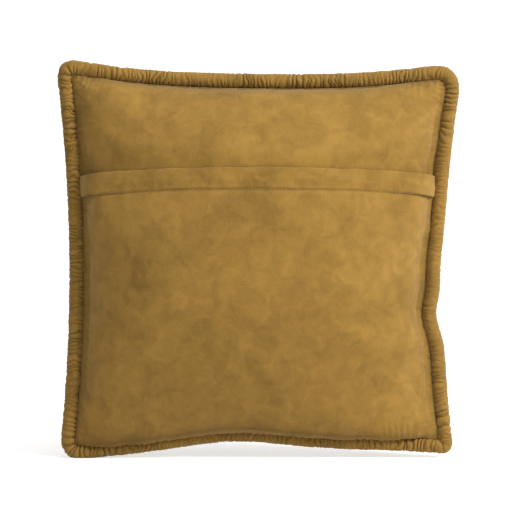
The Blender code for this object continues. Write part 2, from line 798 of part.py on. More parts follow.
def slider_and_tab(metal):
    middle = SLIDER_CLOSED
    half = SLIDER_LENGTH / 2
    wide = SLIDER_HALF_WIDTH
    inner = COIL_SIDE + CLEARANCE
    bite = 0.0002  # how far the parts of one solid run into each other

    def part(name, start, end, levels, ups):
        lengths = (middle + start, middle + end)
        return swept_solid(name, block(lengths, levels, ups, middle), metal, False)

    flange_low = TAPE_OUT + CLEARANCE
    mouth = -half + SLIDER_POST_LENGTH
    foot = BRIDGE_LENGTH / 2
    room = foot - 2 * BRIDGE_BAR - bite
    bridge = BRIDGE_WIDTH / 2
    pieces = [
        part("slider_top", -half, half, (PLATE_TOP_IN, PLATE_TOP_OUT), (-wide, wide)),
        part("slider_base", -half, half, (PLATE_LOW_IN, PLATE_LOW_OUT), (-wide, wide)),
        part(
            "slider_post",
            -half + bite,
            mouth,
            (PLATE_LOW_OUT - bite, PLATE_TOP_IN + bite),
            (-SLIDER_POST_WIDTH / 2, SLIDER_POST_WIDTH / 2),
        ),
        part("slider_wall_up", -half + bite, half - bite, (flange_low, PLATE_TOP_IN + bite),
             (inner, wide - bite)),
        part("slider_wall_low", -half + bite, half - bite, (flange_low, PLATE_TOP_IN + bite),
             (-wide + bite, -inner)),
        part("bridge_foot_a", -foot, -room, (PLATE_TOP_OUT - bite, BRIDGE_OUT - bite),
             (-bridge, bridge)),
        part("bridge_foot_b", room, foot, (PLATE_TOP_OUT - bite, BRIDGE_OUT - bite),
             (-bridge, bridge)),
        part("bridge_bar", -foot + bite, foot - bite, (BRIDGE_OUT - BRIDGE_BAR, BRIDGE_OUT),
             (-bridge + bite, bridge - bite)),
    ]
    slider = join_all("zipper_slider", pieces)
    centre = ZIP.centre()
    move_origin(slider, centre)

    pin = 0.0004
    arm_in = bridge + CLEARANCE
    arm_out = TAB_WIDTH / 2
    flat = TAB_THICKNESS / 2
    plate_start = math.hypot(foot, BRIDGE_OUT - TAB_MIDDLE) + CLEARANCE
    levels = (TAB_MIDDLE - flat, TAB_MIDDLE + flat)
    tab = join_all(
        "zipper_pull_tab",
        [
            part("tab_plate", plate_start, TAB_LENGTH, levels, (-arm_out, arm_out)),
            part("tab_arm_a", -flat, plate_start + bite, levels, (arm_in, arm_out - bite)),
            part("tab_arm_b", -flat, plate_start + bite, levels, (-arm_out + bite, -arm_in)),
            part("tab_pin", -pin + 0.1 * bite, pin, (TAB_MIDDLE - pin + bite / 2, TAB_MIDDLE + pin - bite / 2),
                 (-arm_in - bite, arm_in + bite)),
        ],
    )
    move_origin(tab, ZIP.on_arc(middle, TAB_MIDDLE, 0.0))
    return slider, tab


def insert(cloth, filling_material, thread):
    columns = shares(INSERT_CELLS)
    front_outer = [face_row(INSERT_OUTER, t, 1, columns) for t in columns]
    front_inner = [face_row(INSERT_INNER, t, 1, columns) for t in columns]
    two_sheets("insert_front_shell", front_outer, front_inner, 1, cloth)
    back_outer = [insert_back_row(INSERT_OUTER, 0.0, t, columns) for t in columns]
    back_inner = [insert_back_row(INSERT_INNER, INSERT_CLOTH, t, columns) for t in columns]
    two_sheets("insert_back_shell", back_outer, back_inner, -1, cloth)

    front = [face_row(FILLING_SKIN, t, 1, columns) for t in columns]
    below = INSERT_CLOTH + 2 * CLEARANCE
    back = [insert_back_row(FILLING_SKIN, below, t, columns) for t in columns]
    two_sheets("insert_filling", front, back, 1, filling_material)
    inset = INSERT_INSET - CLEARANCE - THREAD_RADIUS
    ring_solid(
        "insert_seam_thread",
        circle_section(inset, 0.0, THREAD_RADIUS, THREAD_SIDES),
        thread,
        INSERT_CELLS,
    )


def insert_back_row(skin, depth, t, columns):
    """A row of the insert's back, pressed in where the zip's slider passes over it."""
    row = []
    floor = PLATE_LOW_IN - 2 * CLEARANCE - depth
    for s in columns:
        x, y, z = skin.point(s, t, -1)
        along = x - ZIP.middle_x
        # How far up from the zip's line this place lies, measured in the zip's own plane.
        near = ZIP.at(along, 0.0, 0.0)
        rise = z - near[2]
        limit = -ZIP.at(along, floor, rise)[1] + max(0.0, abs(rise) - PRESSED_REACH)
        if 0 < s < 1:
            y = -max(skin.rim, min(-y, limit))
        row.append((x, y, z))
    return row


def care_label(material):
    """A blank label, caught in the left seam and lying between the back panel and the insert."""
    stations = []
    for z in (LABEL_HEIGHT_UP, LABEL_HEIGHT_UP + LABEL_WIDTH / 2, LABEL_HEIGHT_UP + LABEL_WIDTH):
        share = share_at_height(3, z, PANEL_INSET)
        inner, outer = [], []
        for depth, lift in LABEL_PATH:
            x, _ = side_point(3, share, PIPING_DIAMETER + depth)
            inner.append((x, -FLANGE_HALF - CLEARANCE - lift, z))
            outer.append((x - LABEL_THICKNESS / 2, -FLANGE_HALF - CLEARANCE - LABEL_THICKNESS - lift, z))
        stations.append(inner + list(reversed(outer)))
    swept_solid("care_label", stations, material)


def main():
    clear_scene()
    velvet = finish("velvet", VELVET_COLOUR, 0.85, sheen=0.6)
    piping_velvet = finish("piping_velvet", VELVET_COLOUR, 0.85, sheen=0.6)
    thread = finish("thread", THREAD_COLOUR, 0.7)
    cord = finish("cord", (0.80, 0.78, 0.72), 0.9)
    tape = finish("zip_tape", ZIP_COLOUR, 0.8)
    nylon = finish("zip_coil", ZIP_COLOUR, 0.4)
    metal = finish("zip_metal", (0.62, 0.50, 0.28), 0.35, 1.0)
    lining = finish("insert_cloth", INSERT_COLOUR, 0.9)
    fibre = finish("insert_fibre", (0.95, 0.95, 0.94), 0.95)
    label = finish("label", (0.90, 0.90, 0.88), 0.8)

    front_panel(velvet)
    back_lower_panel(velvet)
    back_upper_panel(velvet)
    placket_lap(velvet)
    piping(piping_velvet, cord)
    seam_threads(thread)
    placket_threads(thread)
    zip_tapes(tape)
    coil("zipper_upper_coil", 1, nylon)
    coil("zipper_lower_coil", -1, nylon)
    zip_stops(metal)
    slider_and_tab(metal)
    insert(lining, fibre, thread)
    care_label(label)


main()
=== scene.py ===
"""The looks of a square velvet throw pillow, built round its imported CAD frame."""

import json
import logging
import math
from dataclasses import dataclass, field
from enum import Enum

import bpy
import numpy as np
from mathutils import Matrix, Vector, noise


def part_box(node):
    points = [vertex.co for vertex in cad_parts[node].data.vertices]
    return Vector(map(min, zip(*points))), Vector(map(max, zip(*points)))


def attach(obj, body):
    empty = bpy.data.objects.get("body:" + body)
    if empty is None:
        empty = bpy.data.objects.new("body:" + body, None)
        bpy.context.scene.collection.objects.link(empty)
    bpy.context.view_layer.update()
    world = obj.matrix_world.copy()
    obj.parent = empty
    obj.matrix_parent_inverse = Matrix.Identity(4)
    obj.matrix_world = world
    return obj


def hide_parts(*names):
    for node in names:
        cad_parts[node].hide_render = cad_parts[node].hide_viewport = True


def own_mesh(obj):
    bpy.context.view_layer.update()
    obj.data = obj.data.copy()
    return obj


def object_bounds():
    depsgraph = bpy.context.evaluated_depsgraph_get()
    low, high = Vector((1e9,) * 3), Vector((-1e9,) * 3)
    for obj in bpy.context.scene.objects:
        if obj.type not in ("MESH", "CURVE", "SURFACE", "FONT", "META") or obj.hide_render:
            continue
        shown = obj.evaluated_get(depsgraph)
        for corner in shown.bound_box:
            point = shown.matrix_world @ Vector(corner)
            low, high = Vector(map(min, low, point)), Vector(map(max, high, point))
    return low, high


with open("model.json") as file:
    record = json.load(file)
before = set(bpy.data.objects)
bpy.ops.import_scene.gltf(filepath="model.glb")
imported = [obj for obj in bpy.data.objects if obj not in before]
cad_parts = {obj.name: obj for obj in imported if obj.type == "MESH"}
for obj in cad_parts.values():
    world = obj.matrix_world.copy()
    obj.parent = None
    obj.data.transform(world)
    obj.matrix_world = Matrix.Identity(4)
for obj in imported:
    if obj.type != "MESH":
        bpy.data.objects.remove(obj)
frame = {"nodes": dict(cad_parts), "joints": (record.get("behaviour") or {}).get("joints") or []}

log = logging.getLogger("throw_pillow")
ACROSS = np.array([0.0, 1.0, 0.0])
CAD_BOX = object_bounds()
MM = 0.001
MIDDLE_Z = 0.2485  # height of the pillow's middle
SAMPLES = 400  # places read along a side of the outline


class Face(Enum):
    """The pillow's two faces, by the side of the seam that each is on."""

    FRONT = 1
    BACK = -1


class Side(Enum):
    """The pillow's four sides, as seen with the back towards the viewer."""

    BOTTOM = 0
    RIGHT = 1
    TOP = 2
    LEFT = 3


def smoothstep(value: np.ndarray) -> np.ndarray:
    """Eases a number from 0 to 1."""
    t = np.clip(value, 0.0, 1.0)
    return t * t * (3 - 2 * t)


def unit(vectors: np.ndarray) -> np.ndarray:
    """The vectors at length 1."""
    length = np.linalg.norm(vectors, axis=-1, keepdims=True)
    return vectors / np.maximum(length, 1e-12)


def field_noise(points: np.ndarray, scale: float, seed: float) -> np.ndarray:
    """Smooth noise between about -1 and 1.

    Args:
        points: Places in metres, with X, Y and Z last.
        scale: The size of the noise's features in metres.
        seed: Moves the noise to another part of its field.

    Returns:
        One number for each place.
    """
    flat = points.reshape(-1, 3) / scale + seed
    values = [noise.noise(Vector(p)) for p in flat]
    return np.array(values).reshape(points.shape[:-1]) * 1.6


# ---------------------------------------------------------------- outline


@dataclass(frozen=True)
class SideShape:
    """How one side of the outline is pulled in between its corners.

    Attributes:
        bow: How far the middle is pulled in, in metres.
        flatness: The power of the curve; 2 is a parabola, more is flatter in the middle.
        dents: Local dents, each as share along the side, width as a share and depth in metres.
    """

    bow: float
    flatness: float = 2.0
    dents: tuple[tuple[float, float, float], ...] = ()

    def pull(self, share: np.ndarray) -> np.ndarray:
        """How far in the side lies at each share of its length."""
        depth = self.bow * (1 - np.abs(2 * share - 1) ** self.flatness)
        for place, width, dent in self.dents:
            depth = depth + dent * np.exp(-0.5 * ((share - place) / width) ** 2)
        return depth


@dataclass(frozen=True)
class Corner:
    """One corner: its signs in X and Z, how far it is drawn in, and its outer radius."""

    sign_x: int
    sign_z: int
    in_x: float
    in_z: float
    radius: float


@dataclass
class Outline:
    """The pillow's outline in X and Z, and its copies further in."""

    low: np.ndarray
    high: np.ndarray
    corners: tuple[Corner, ...] = (
        Corner(-1, -1, 0.003, 0.000, 0.026),
        Corner(1, -1, 0.011, 0.009, 0.014),
        Corner(1, 1, 0.000, 0.005, 0.035),
        Corner(-1, 1, 0.000, 0.000, 0.024),
    )
    sides: tuple[SideShape, ...] = (
        SideShape(0.0085, 3.0, ((0.44, 0.130, 0.0120),)),
        SideShape(0.0180, 2.0, ((0.35, 0.042, 0.0085), (0.47, 0.060, 0.0036))),
        SideShape(0.0175, 2.8),
        SideShape(0.0145, 2.0),
    )
    tip_reach: float = 0.0045
    corner_cut: float = 1.3

    def tip(self, index: int, inset: float) -> tuple[np.ndarray, float]:
        """A corner's tip and radius at an inset from the outer edge."""
        c = self.corners[index]
        edge_x = (self.high if c.sign_x > 0 else self.low)[0] + c.sign_x * self.tip_reach
        edge_z = (self.high if c.sign_z > 0 else self.low)[2] + c.sign_z * self.tip_reach
        place = (edge_x - c.sign_x * (c.in_x + inset), edge_z - c.sign_z * (c.in_z + inset))
        return np.array(place), max(c.radius - inset, 0.001)

    def side(self, which: Side, share: np.ndarray, inset: float) -> np.ndarray:
        """Places along one side, from the middle of one corner's curve to the middle of the next.

        Args:
            which: The side. The bottom and top run to +X, and the left and right to +Z.
            share: The places, from 0 to 1.
            inset: How far in from the outer edge, in metres.

        Returns:
            The places as X and Z.
        """
        share = np.atleast_1d(np.asarray(share, float))
        first, second = ENDS[which]
        start, start_radius = self.tip(first, inset)
        end, end_radius = self.tip(second, inset)
        length = float(np.linalg.norm(end - start))
        points = self.bowed(which, share, inset)
        for corner, near, radius in (
            (first, share, start_radius),
            (second, 1 - share, end_radius),
        ):
            cut = self.corner_cut * radius / length
            inside = near < cut
            if not inside.any():
                continue
            tip, _ = self.tip(corner, inset)
            before = self.other_cut(which, corner, inset)
            after = self.bowed(which, np.array([cut if corner == first else 1 - cut]), inset)[0]
            b = (0.5 + 0.5 * near[inside] / cut)[:, None]
            points[inside] = (1 - b) ** 2 * before + 2 * b * (1 - b) * tip + b * b * after
        return points

    def bowed(self, which: Side, share: np.ndarray, inset: float) -> np.ndarray:
        """The side before its corners are rounded."""
        first, second = ENDS[which]
        start, end = self.tip(first, inset)[0], self.tip(second, inset)[0]
        line = start + np.outer(share, end - start)
        return line + np.outer(self.sides[which.value].pull(share), INWARD[which])

    def other_cut(self, which: Side, corner: int, inset: float) -> np.ndarray:
        """Where the curve at a corner leaves the other side that meets there."""
        other = next(s for s in Side if s is not which and corner in ENDS[s])
        first, second = ENDS[other]
        length = float(np.linalg.norm(self.tip(second, inset)[0] - self.tip(first, inset)[0]))
        cut = self.corner_cut * self.tip(corner, inset)[1] / length
        return self.bowed(other, np.array([cut if corner == first else 1 - cut]), inset)[0]

    def plan(self, s: np.ndarray, t: np.ndarray, inset: float) -> np.ndarray:
        """The sheet that fills the outline.

        Args:
            s: Places across, from 0 to 1, one for each column.
            t: Places up, from 0 to 1, one for each row.
            inset: How far in from the outer edge the sheet ends.

        Returns:
            X and Z for each row and column.
        """
        low, high = self.side(Side.BOTTOM, s, inset), self.side(Side.TOP, s, inset)
        left, right = self.side(Side.LEFT, t, inset), self.side(Side.RIGHT, t, inset)
        ss, tt = s[None, :, None], t[:, None, None]
        ruled = (1 - tt) * low[None] + tt * high[None]
        ruled = ruled + (1 - ss) * left[:, None] + ss * right[:, None]
        ends = [self.side(side, np.array([0.0, 1.0]), inset) for side in (Side.BOTTOM, Side.TOP)]
        lower = (1 - ss) * ends[0][0] + ss * ends[0][1]
        upper = (1 - ss) * ends[1][0] + ss * ends[1][1]
        return ruled - (1 - tt) * lower - tt * upper

    def loop(self, inset: float, count: int) -> np.ndarray:
        """The closed outline, evenly spaced, anticlockwise as seen from -Y, as X and Z."""
        steps = np.linspace(0, 1, SAMPLES)
        parts = [
            self.side(Side.BOTTOM, steps[:-1], inset),
            self.side(Side.RIGHT, steps[:-1], inset),
            self.side(Side.TOP, steps[::-1][:-1], inset),
            self.side(Side.LEFT, steps[::-1][:-1], inset),
        ]
        points = np.concatenate(parts)
        closed = np.vstack([points, points[:1]])
        along = np.concatenate([[0], np.cumsum(np.linalg.norm(np.diff(closed, axis=0), axis=1))])
        at = np.linspace(0, along[-1], count, endpoint=False)
        return np.stack([np.interp(at, along, closed[:, k]) for k in (0, 1)], axis=1)


ENDS = {Side.BOTTOM: (0, 1), Side.RIGHT: (1, 2), Side.TOP: (3, 2), Side.LEFT: (0, 3)}
INWARD = {Side.BOTTOM: (0, 1), Side.RIGHT: (-1, 0), Side.TOP: (0, -1), Side.LEFT: (1, 0)}


# ---------------------------------------------------------------- the line of the zip


def node_points(name: str) -> np.ndarray:
    """The points of a CAD node."""
    mesh = frame["nodes"][name].data
    points = np.empty(len(mesh.vertices) * 3)
    mesh.vertices.foreach_get("co", points)
    return points.reshape(-1, 3)


@dataclass
class ZipLine:
    """The curved line of the zip, read from the frame's joint and its coils."""

    outline: Outline
    seam_inset: float
    centre: np.ndarray = field(init=False)
    up: np.ndarray = field(init=False)
    outward: np.ndarray = field(init=False)
    base: np.ndarray = field(init=False)
    radius: float = field(init=False)
    arc_x: float = field(init=False)
    top: float = field(init=False)
    angle: float = field(init=False)
    arc_end: float = field(init=False)
    reach_left: float = field(init=False)
    reach_right: float = field(init=False)
    side_gap: float = 2 * MM
    end_level: float = 1.5 * MM

    def __post_init__(self) -> None:
        """Reads the arc, and fits a tighter arc at each end, down to the side seams."""
        joint = next(j for j in frame["joints"] if j["name"] == "zipper_travel")
        self.centre = np.array(joint["pos_m"], float)
        self.up = unit(np.array(joint["axis"], float))
        self.outward = unit(np.cross([1.0, 0.0, 0.0], self.up))
        if self.outward[1] > 0:
            self.outward = -self.outward
        coil = node_points("zipper_upper_coil") - self.centre
        flat = coil - np.outer(coil @ self.up, self.up)
        reach = np.linalg.norm(flat, axis=1)
        self.radius = float((reach.min() + reach.max()) / 2)
        self.arc_x = float(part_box("zipper_upper_tape")[1][0] - self.centre[0])
        self.top = self.radius + float((self.centre @ self.outward) - self.seam_offset())
        self.fit_ends()

    def seam_offset(self) -> float:
        """How far outward the seam's plane lies along the line's own outward direction."""
        at_seam = self.centre - self.outward * (self.centre[1] / self.outward[1])
        self.base = at_seam
        return float(at_seam @ self.outward)

    def fit_ends(self) -> None:
        """Fits the end arcs."""
        heights = np.linspace(0, 1, SAMPLES)
        left = self.outline.side(Side.LEFT, heights, self.seam_inset)
        right = self.outline.side(Side.RIGHT, heights, self.seam_inset)
        x_left = float(np.interp(self.base[2], left[:, 1], left[:, 0]))
        x_right = float(np.interp(self.base[2], right[:, 1], right[:, 0]))
        self.reach_left = self.centre[0] - x_left - self.side_gap
        self.reach_right = x_right - self.centre[0] - self.side_gap
        self.angle = math.asin(self.arc_x / self.radius)
        self.arc_end = self.top - self.radius * (1 - math.cos(self.angle))

    def at(self, along: np.ndarray, level: np.ndarray, up: np.ndarray) -> np.ndarray:
        """Places on the band of the zip.

        Args:
            along: How far across from the middle, in metres, where the line itself is.
            level: How far outside the line.
            up: How far up from the line, along the cloth.

        Returns:
            The places, with X, Y and Z last.
        """
        along, level, up = np.broadcast_arrays(along, level, up)
        side = np.where(along < 0, -1.0, 1.0)
        reach = np.where(along < 0, self.reach_left, self.reach_right)
        distance = np.minimum(np.abs(along), reach)
        run = reach - self.arc_x
        fall = self.end_level - self.arc_end
        in_x, in_out = -math.sin(self.angle), -math.cos(self.angle)
        radius = (run**2 + fall**2) / (2 * (run * in_x + fall * in_out))
        middle_x = self.arc_x + radius * in_x
        middle_out = self.arc_end + radius * in_out
        on_arc = distance <= self.arc_x
        sine = np.where(on_arc, distance / self.radius, (distance - middle_x) / radius)
        sine = np.clip(sine, 0.0, 1.0)
        cosine = np.sqrt(1 - sine * sine)
        out = np.where(
            on_arc, self.top - self.radius + self.radius * cosine, middle_out + radius * cosine
        )
        x = side * (distance + level * sine)
        out = out + level * cosine
        return (
            self.base
            + x[..., None] * np.array([1.0, 0.0, 0.0])
            + out[..., None] * self.outward
            + up[..., None] * self.up
        )


# ---------------------------------------------------------------- meshes


@dataclass
class Grid:
    """Rows and columns of places, from which a sheet of cloth is made."""

    points: np.ndarray

    def faces(self, closed: bool = False) -> list[tuple[int, ...]]:
        """The quads between the places.

        Args:
            closed: Whether the last column meets the first.

        Returns:
            Four indices for each quad.
        """
        rows, columns = self.points.shape[:2]
        across = np.arange(columns if closed else columns - 1)
        corner = np.arange(rows - 1)[:, None] * columns
        a = corner + across
        b = corner + (across + 1) % columns
        quads = np.stack([a, b, b + columns, a + columns], axis=-1).reshape(-1, 4)
        return [tuple(int(k) for k in quad) for quad in quads]

    def normals(self) -> np.ndarray:
        """The unit normal at each place."""
        down = np.gradient(self.points, axis=0)
        across = np.gradient(self.points, axis=1)
        return unit(np.cross(across, down))


def new_piece(name: str, points: np.ndarray, faces: list[tuple[int, ...]]) -> bpy.types.Object:
    """A smooth mesh object at the origin."""
    mesh = bpy.data.meshes.new(name)
    mesh.from_pydata(points.reshape(-1, 3).tolist(), [], faces)
    mesh.validate()
    mesh.shade_smooth()
    thing = bpy.data.objects.new(name, mesh)
    bpy.context.collection.objects.link(thing)
    return thing


def mark(thing: bpy.types.Object, name: str, values: np.ndarray) -> None:
    """Stores a number at each point of a mesh, for its material to read."""
    layer = thing.data.attributes.new(name, "FLOAT", "POINT")
    layer.data.foreach_set("value", values.ravel().astype(np.float32))


def only(thing: bpy.types.Object) -> None:
    """Makes an object the selected and active one."""
    bpy.ops.object.select_all(action="DESELECT")
    thing.select_set(True)
    bpy.context.view_layer.objects.active = thing


def apply_all(thing: bpy.types.Object) -> None:
    """Applies an object's modifiers."""
    only(thing)
    for modifier in list(thing.modifiers):
        bpy.ops.object.modifier_apply(modifier=modifier.name)


def faces_out(thing: bpy.types.Object) -> None:
    """Turns a closed mesh's faces outwards."""
    only(thing)
    bpy.ops.object.mode_set(mode="EDIT")
    bpy.ops.mesh.select_all(action="SELECT")
    bpy.ops.mesh.normals_make_consistent(inside=False)
    bpy.ops.object.mode_set(mode="OBJECT")


def cubic(values: np.ndarray, place: np.ndarray) -> np.ndarray:
    """Reads rows of values between their indices, along a Catmull-Rom curve.

    Args:
        values: The rows.
        place: Places as fractional indices.

    Returns:
        A row for each place.
    """
    last = len(values) - 1
    base = np.clip(np.floor(place).astype(int), 0, last - 1)
    f = (place - base).reshape((-1,) + (1,) * (values.ndim - 1))
    before = values[base] * 2 - values[base + 1]
    p0 = np.where((base > 0).reshape(f.shape), values[np.maximum(base - 1, 0)], before)
    p1, p2 = values[base], values[base + 1]
    beyond = p2 * 2 - p1
    p3 = np.where((base < last - 1).reshape(f.shape), values[np.minimum(base + 2, last)], beyond)
    return 0.5 * (
        2 * p1 + (p2 - p0) * f + (2 * p0 - 5 * p1 + 4 * p2 - p3) * f**2
        + (3 * p1 - p0 - 3 * p2 + p3) * f**3
    )


def eased(place: np.ndarray) -> np.ndarray:
    """Shares from 0 to 1, closer together towards both ends."""
    return 0.5 + 0.5 * np.sin(np.pi * (place - 0.5))


# ---------------------------------------------------------------- cushion


@dataclass
class Cushion:
    """The stuffed shape of the pillow's two faces, inflated by a cloth simulation.

    Attributes:
        outline: The pillow's outline.
        zip_line: The line of the zip across the back.
        seam_inset: How far in from the outer edge the panels are sewn.
        rim: How far from the seam's plane the panels begin.
        crown: How far from the seam's plane the middle stands.
        cells: Cells each way in the simulated net.
        surplus: How much longer the cloth is than the shape it starts from.
        pressure: The pressure of the filling.
        frames: How many frames the simulation runs.
        keep: The share of the simulated creases that is kept.
        most: How far they may move the cloth, in metres.
        slack: The share of the full height at which the simulation starts.
        over: How far above the crown the blown cloth may stand.
        edge_cells: Cells from the seam over which the creases fade in.
        back_height: Height of the back between its seams, in metres.
        band_flat: How far from the zip's edge the cloth lies flat on the band.
        band_blend: How far beyond that it takes to leave the band.
        net: The finished net of each face.
        index: The pouch's point for each place of both nets.
    """

    outline: Outline
    zip_line: ZipLine
    seam_inset: float
    rim: float
    crown: float = 0.0790
    cells: int = 72
    surplus: float = 0.035
    pressure: float = 4.0
    frames: int = 24
    keep: float = 0.45
    most: float = 0.0035
    slack: float = 0.86
    over: float = 1.5 * MM
    edge_cells: float = 3.0
    back_height: float = 0.47
    band_flat: float = 0.002
    band_blend: float = 0.055
    net: dict[Face, np.ndarray] = field(default_factory=dict)
    index: np.ndarray = field(init=False)

    def dome(self, face: Face, fullness: float) -> np.ndarray:
        """A plain domed net for one face."""
        shares = eased(np.linspace(0, 1, self.cells + 1))
        plan = self.outline.plan(shares, shares, self.seam_inset)
        u = 2 * shares - 1
        rise = np.sqrt(np.clip(1 - u**2, 0, 1))
        height = self.rim + (self.crown * fullness - self.rim) * np.outer(rise, rise)
        return np.stack([plan[..., 0], face.value * height, plan[..., 1]], axis=-1)

    def inflate(self) -> None:
        for face in Face:
            self.net[face] = self.dome(face, 1.0)
        start = {face: self.dome(face, self.slack) for face in Face}
        thing = self.pouch(start)
        self.simulate(thing)
        count = (self.cells + 1) ** 2
        moved = np.array([v.co for v in thing.data.vertices])
        for index, face in enumerate(Face):
            flat = moved[self.index[index * count : (index + 1) * count]]
            blown = flat.reshape(self.cells + 1, self.cells + 1, 3)
            self.net[face] = self.fitted(blown, face)
        bpy.data.objects.remove(thing, do_unlink=True)
        log.info("cushion inflated, %d cloth points", len(moved))

    def fitted(self, blown: np.ndarray, face: Face) -> np.ndarray:
        """The simulated face at the height of the real pillow."""
        plain = self.dome(face, 1.0)
        height = face.value * blown[..., 1]
        middle = slice(self.cells // 3, 2 * self.cells // 3)
        grown = (self.crown - self.rim) / (height[middle, middle].mean() - self.rim)
        level = self.rim + (height - self.rim) * grown
        result = blown.copy()
        level = np.minimum(level, self.crown + self.over)
        result[..., 1] = face.value * level
        edge = np.minimum.outer(self.edge_rows(), self.edge_rows())
        share = smoothstep(edge / self.edge_cells)[..., None]
        change = (result - plain) * self.keep * share
        size = np.linalg.norm(change, axis=-1, keepdims=True)
        limit = self.most / np.sqrt(1 + (size / self.most) ** 2) / self.most
        return plain + change * limit

    def edge_rows(self) -> np.ndarray:
        """How many cells each row lies from the nearest edge."""
        steps = np.arange(self.cells + 1)
        return np.minimum(steps, self.cells - steps).astype(float)

    def pouch(self, start: dict[Face, np.ndarray]) -> bpy.types.Object:
        """Both faces as one closed mesh, sewn along the seam."""
        points, faces = [], []
        size = self.cells + 1
        seam_of: dict[tuple[int, int], int] = {}
        self.index = np.empty(2 * size * size, int)
        for number, face in enumerate(Face):
            for j in range(size):
                for i in range(size):
                    rim = i in (0, size - 1) or j in (0, size - 1)
                    if rim and number == 1:
                        self.index[number * size * size + j * size + i] = seam_of[(j, i)]
                        continue
                    place = start[face][j, i].copy()
                    if rim:
                        place[1] = 0.0
                        seam_of[(j, i)] = len(points)
                    self.index[number * size * size + j * size + i] = len(points)
                    points.append(place)
        for number, face in enumerate(Face):
            for a, b, c, d in Grid(start[face]).faces():
                quad = [int(self.index[number * size * size + k]) for k in (a, b, c, d)]
                faces.append(tuple(quad if face is Face.BACK else reversed(quad)))
        thing = new_piece("pouch", np.array(points), faces)
        group = thing.vertex_groups.new(name="seam")
        group.add(sorted(seam_of.values()), 1.0, "REPLACE")
        return thing

    def simulate(self, thing: bpy.types.Object) -> None:
        """Inflates the pouch with Blender's cloth."""
        cloth = thing.modifiers.new("Cloth", "CLOTH")
        settings = cloth.settings
        settings.quality = 7
        settings.mass = 0.25
        settings.tension_stiffness = 25
        settings.compression_stiffness = 25
        settings.shear_stiffness = 8
        settings.bending_stiffness = 0.6
        settings.air_damping = 3.0
        settings.vertex_group_mass = "seam"
        settings.shrink_min = -self.surplus
        settings.use_pressure = True
        settings.uniform_pressure_force = self.pressure
        settings.effector_weights.gravity = 0.0
        cloth.collision_settings.use_self_collision = False
        cloth.point_cache.frame_end = self.frames
        for frame_number in range(1, self.frames + 1):
            bpy.context.scene.frame_set(frame_number)
        apply_all(thing)
        bpy.context.scene.frame_set(1)

    def free(self, face: Face, across: np.ndarray, up: np.ndarray) -> np.ndarray:
        """Places on a face away from the zip.

        Args:
            face: Which face.
            across: Places across from 0 to 1, evenly spaced in angle.
            up: Places up from 0 to 1, evenly spaced in angle.

        Returns:
            Rows of places going up, each going across.
        """
        rows = cubic(self.net[face], up * self.cells)
        return np.swapaxes(cubic(np.swapaxes(rows, 0, 1), across * self.cells), 0, 1)

    def on_band(self, across: np.ndarray, up: float | np.ndarray, level: float) -> np.ndarray:
        """Places on the flat band that carries the zip.

        Args:
            across: Places across from 0 to 1, evenly spaced in angle.
            up: How far above the zip, in metres.
            level: How far outside the zip's own line, in metres.

        Returns:
            A place for each number across.
        """
        share = eased(across)
        line = self.zip_line
        along = (share - 0.5) * (line.reach_left + line.reach_right)
        along = along + (line.reach_right - line.reach_left) / 2
        return line.at(along, np.asarray(level), np.asarray(up))

    def back(
        self, across: np.ndarray, below: np.ndarray, edge_up: float, level: float
    ) -> np.ndarray:
        """One part of the back, from its seam to the zip's band.

        Args:
            across: Places across from 0 to 1, evenly spaced in angle.
            below: Places from 0 at the seam to 1 at the band, as shares of the way.
            edge_up: Where on the band the cloth ends, in metres above the zip.
            level: How far outside the zip's line the cloth lies there.

        Returns:
            Rows of places going up from the seam, each going across.
        """
        lower = edge_up < 0
        zip_angle = 0.5 + math.asin(2 * self.zip_share() - 1) / math.pi
        angles = below * zip_angle if lower else 1 - below * (1 - zip_angle)
        free = self.free(Face.BACK, across, angles)
        height = self.back_height * (eased(angles) - self.zip_share())
        rows = []
        for row, place in enumerate(height):
            gap = abs(place - edge_up) if (place < edge_up) == lower else 0.0
            share = 1 - smoothstep(np.array((gap - self.band_flat) / self.band_blend))
            up = min(place, edge_up) if lower else max(place, edge_up)
            sunk = self.on_band(across, up, level)
            rows.append(free[row] * (1 - share) + sunk * share)
        return np.array(rows)

    def zip_share(self) -> float:
        """How far up the left side the zip's plane meets the seam, as a share."""
        steps = np.linspace(0, 1, SAMPLES)
        left = self.outline.side(Side.LEFT, steps, self.seam_inset)
        return float(np.interp(self.zip_line.base[2], left[:, 1], steps))


# ---------------------------------------------------------------- velvet panels


@dataclass(frozen=True)
class Wrinkling:
    """How a velvet panel creases.

    Attributes:
        broad: Depth of the soft swells, in metres.
        pucker: Depth of the small folds where the panel is gathered into the seam.
        pitch: How far apart those folds are.
        reach: How far they run in from the seam.
        seed: Moves the pattern.
    """

    broad: float = 0.0011
    pucker: float = 0.0011
    pitch: float = 0.0085
    reach: float = 0.020
    seed: float = 3.0


@dataclass(frozen=True)
class Pinch:
    """How the cloth is drawn in beside the upright pipings, in metres.

    Attributes:
        depth: How far it is drawn in.
        rise: Height above the rim over which the pinch grows.
        fade_from: Height above the rim at which it starts to fade.
        fade_over: Height over which it fades.
        side_from: Distance from the middle at which it starts.
        side_over: Distance over which it grows sideways.
        reach: Half the height of the side that is pinched.
        end_over: Distance over which it fades towards the corners.
    """

    depth: float = 0.0062
    rise: float = 0.007
    fade_from: float = 0.016
    fade_over: float = 0.034
    side_from: float = 0.10
    side_over: float = 0.08
    reach: float = 0.245
    end_over: float = 0.06

    def along_x(self, points: np.ndarray, rim: float) -> np.ndarray:
        """How far each place moves in X."""
        height = np.abs(points[..., 1]) - rim
        profile = smoothstep(height / self.rise)
        profile = profile * (1 - smoothstep((height - self.fade_from) / self.fade_over))
        side = smoothstep((np.abs(points[..., 0]) - self.side_from) / self.side_over)
        away = smoothstep((self.reach - np.abs(points[..., 2] - MIDDLE_Z)) / self.end_over)
        return np.sign(points[..., 0]) * self.depth * profile * side * away


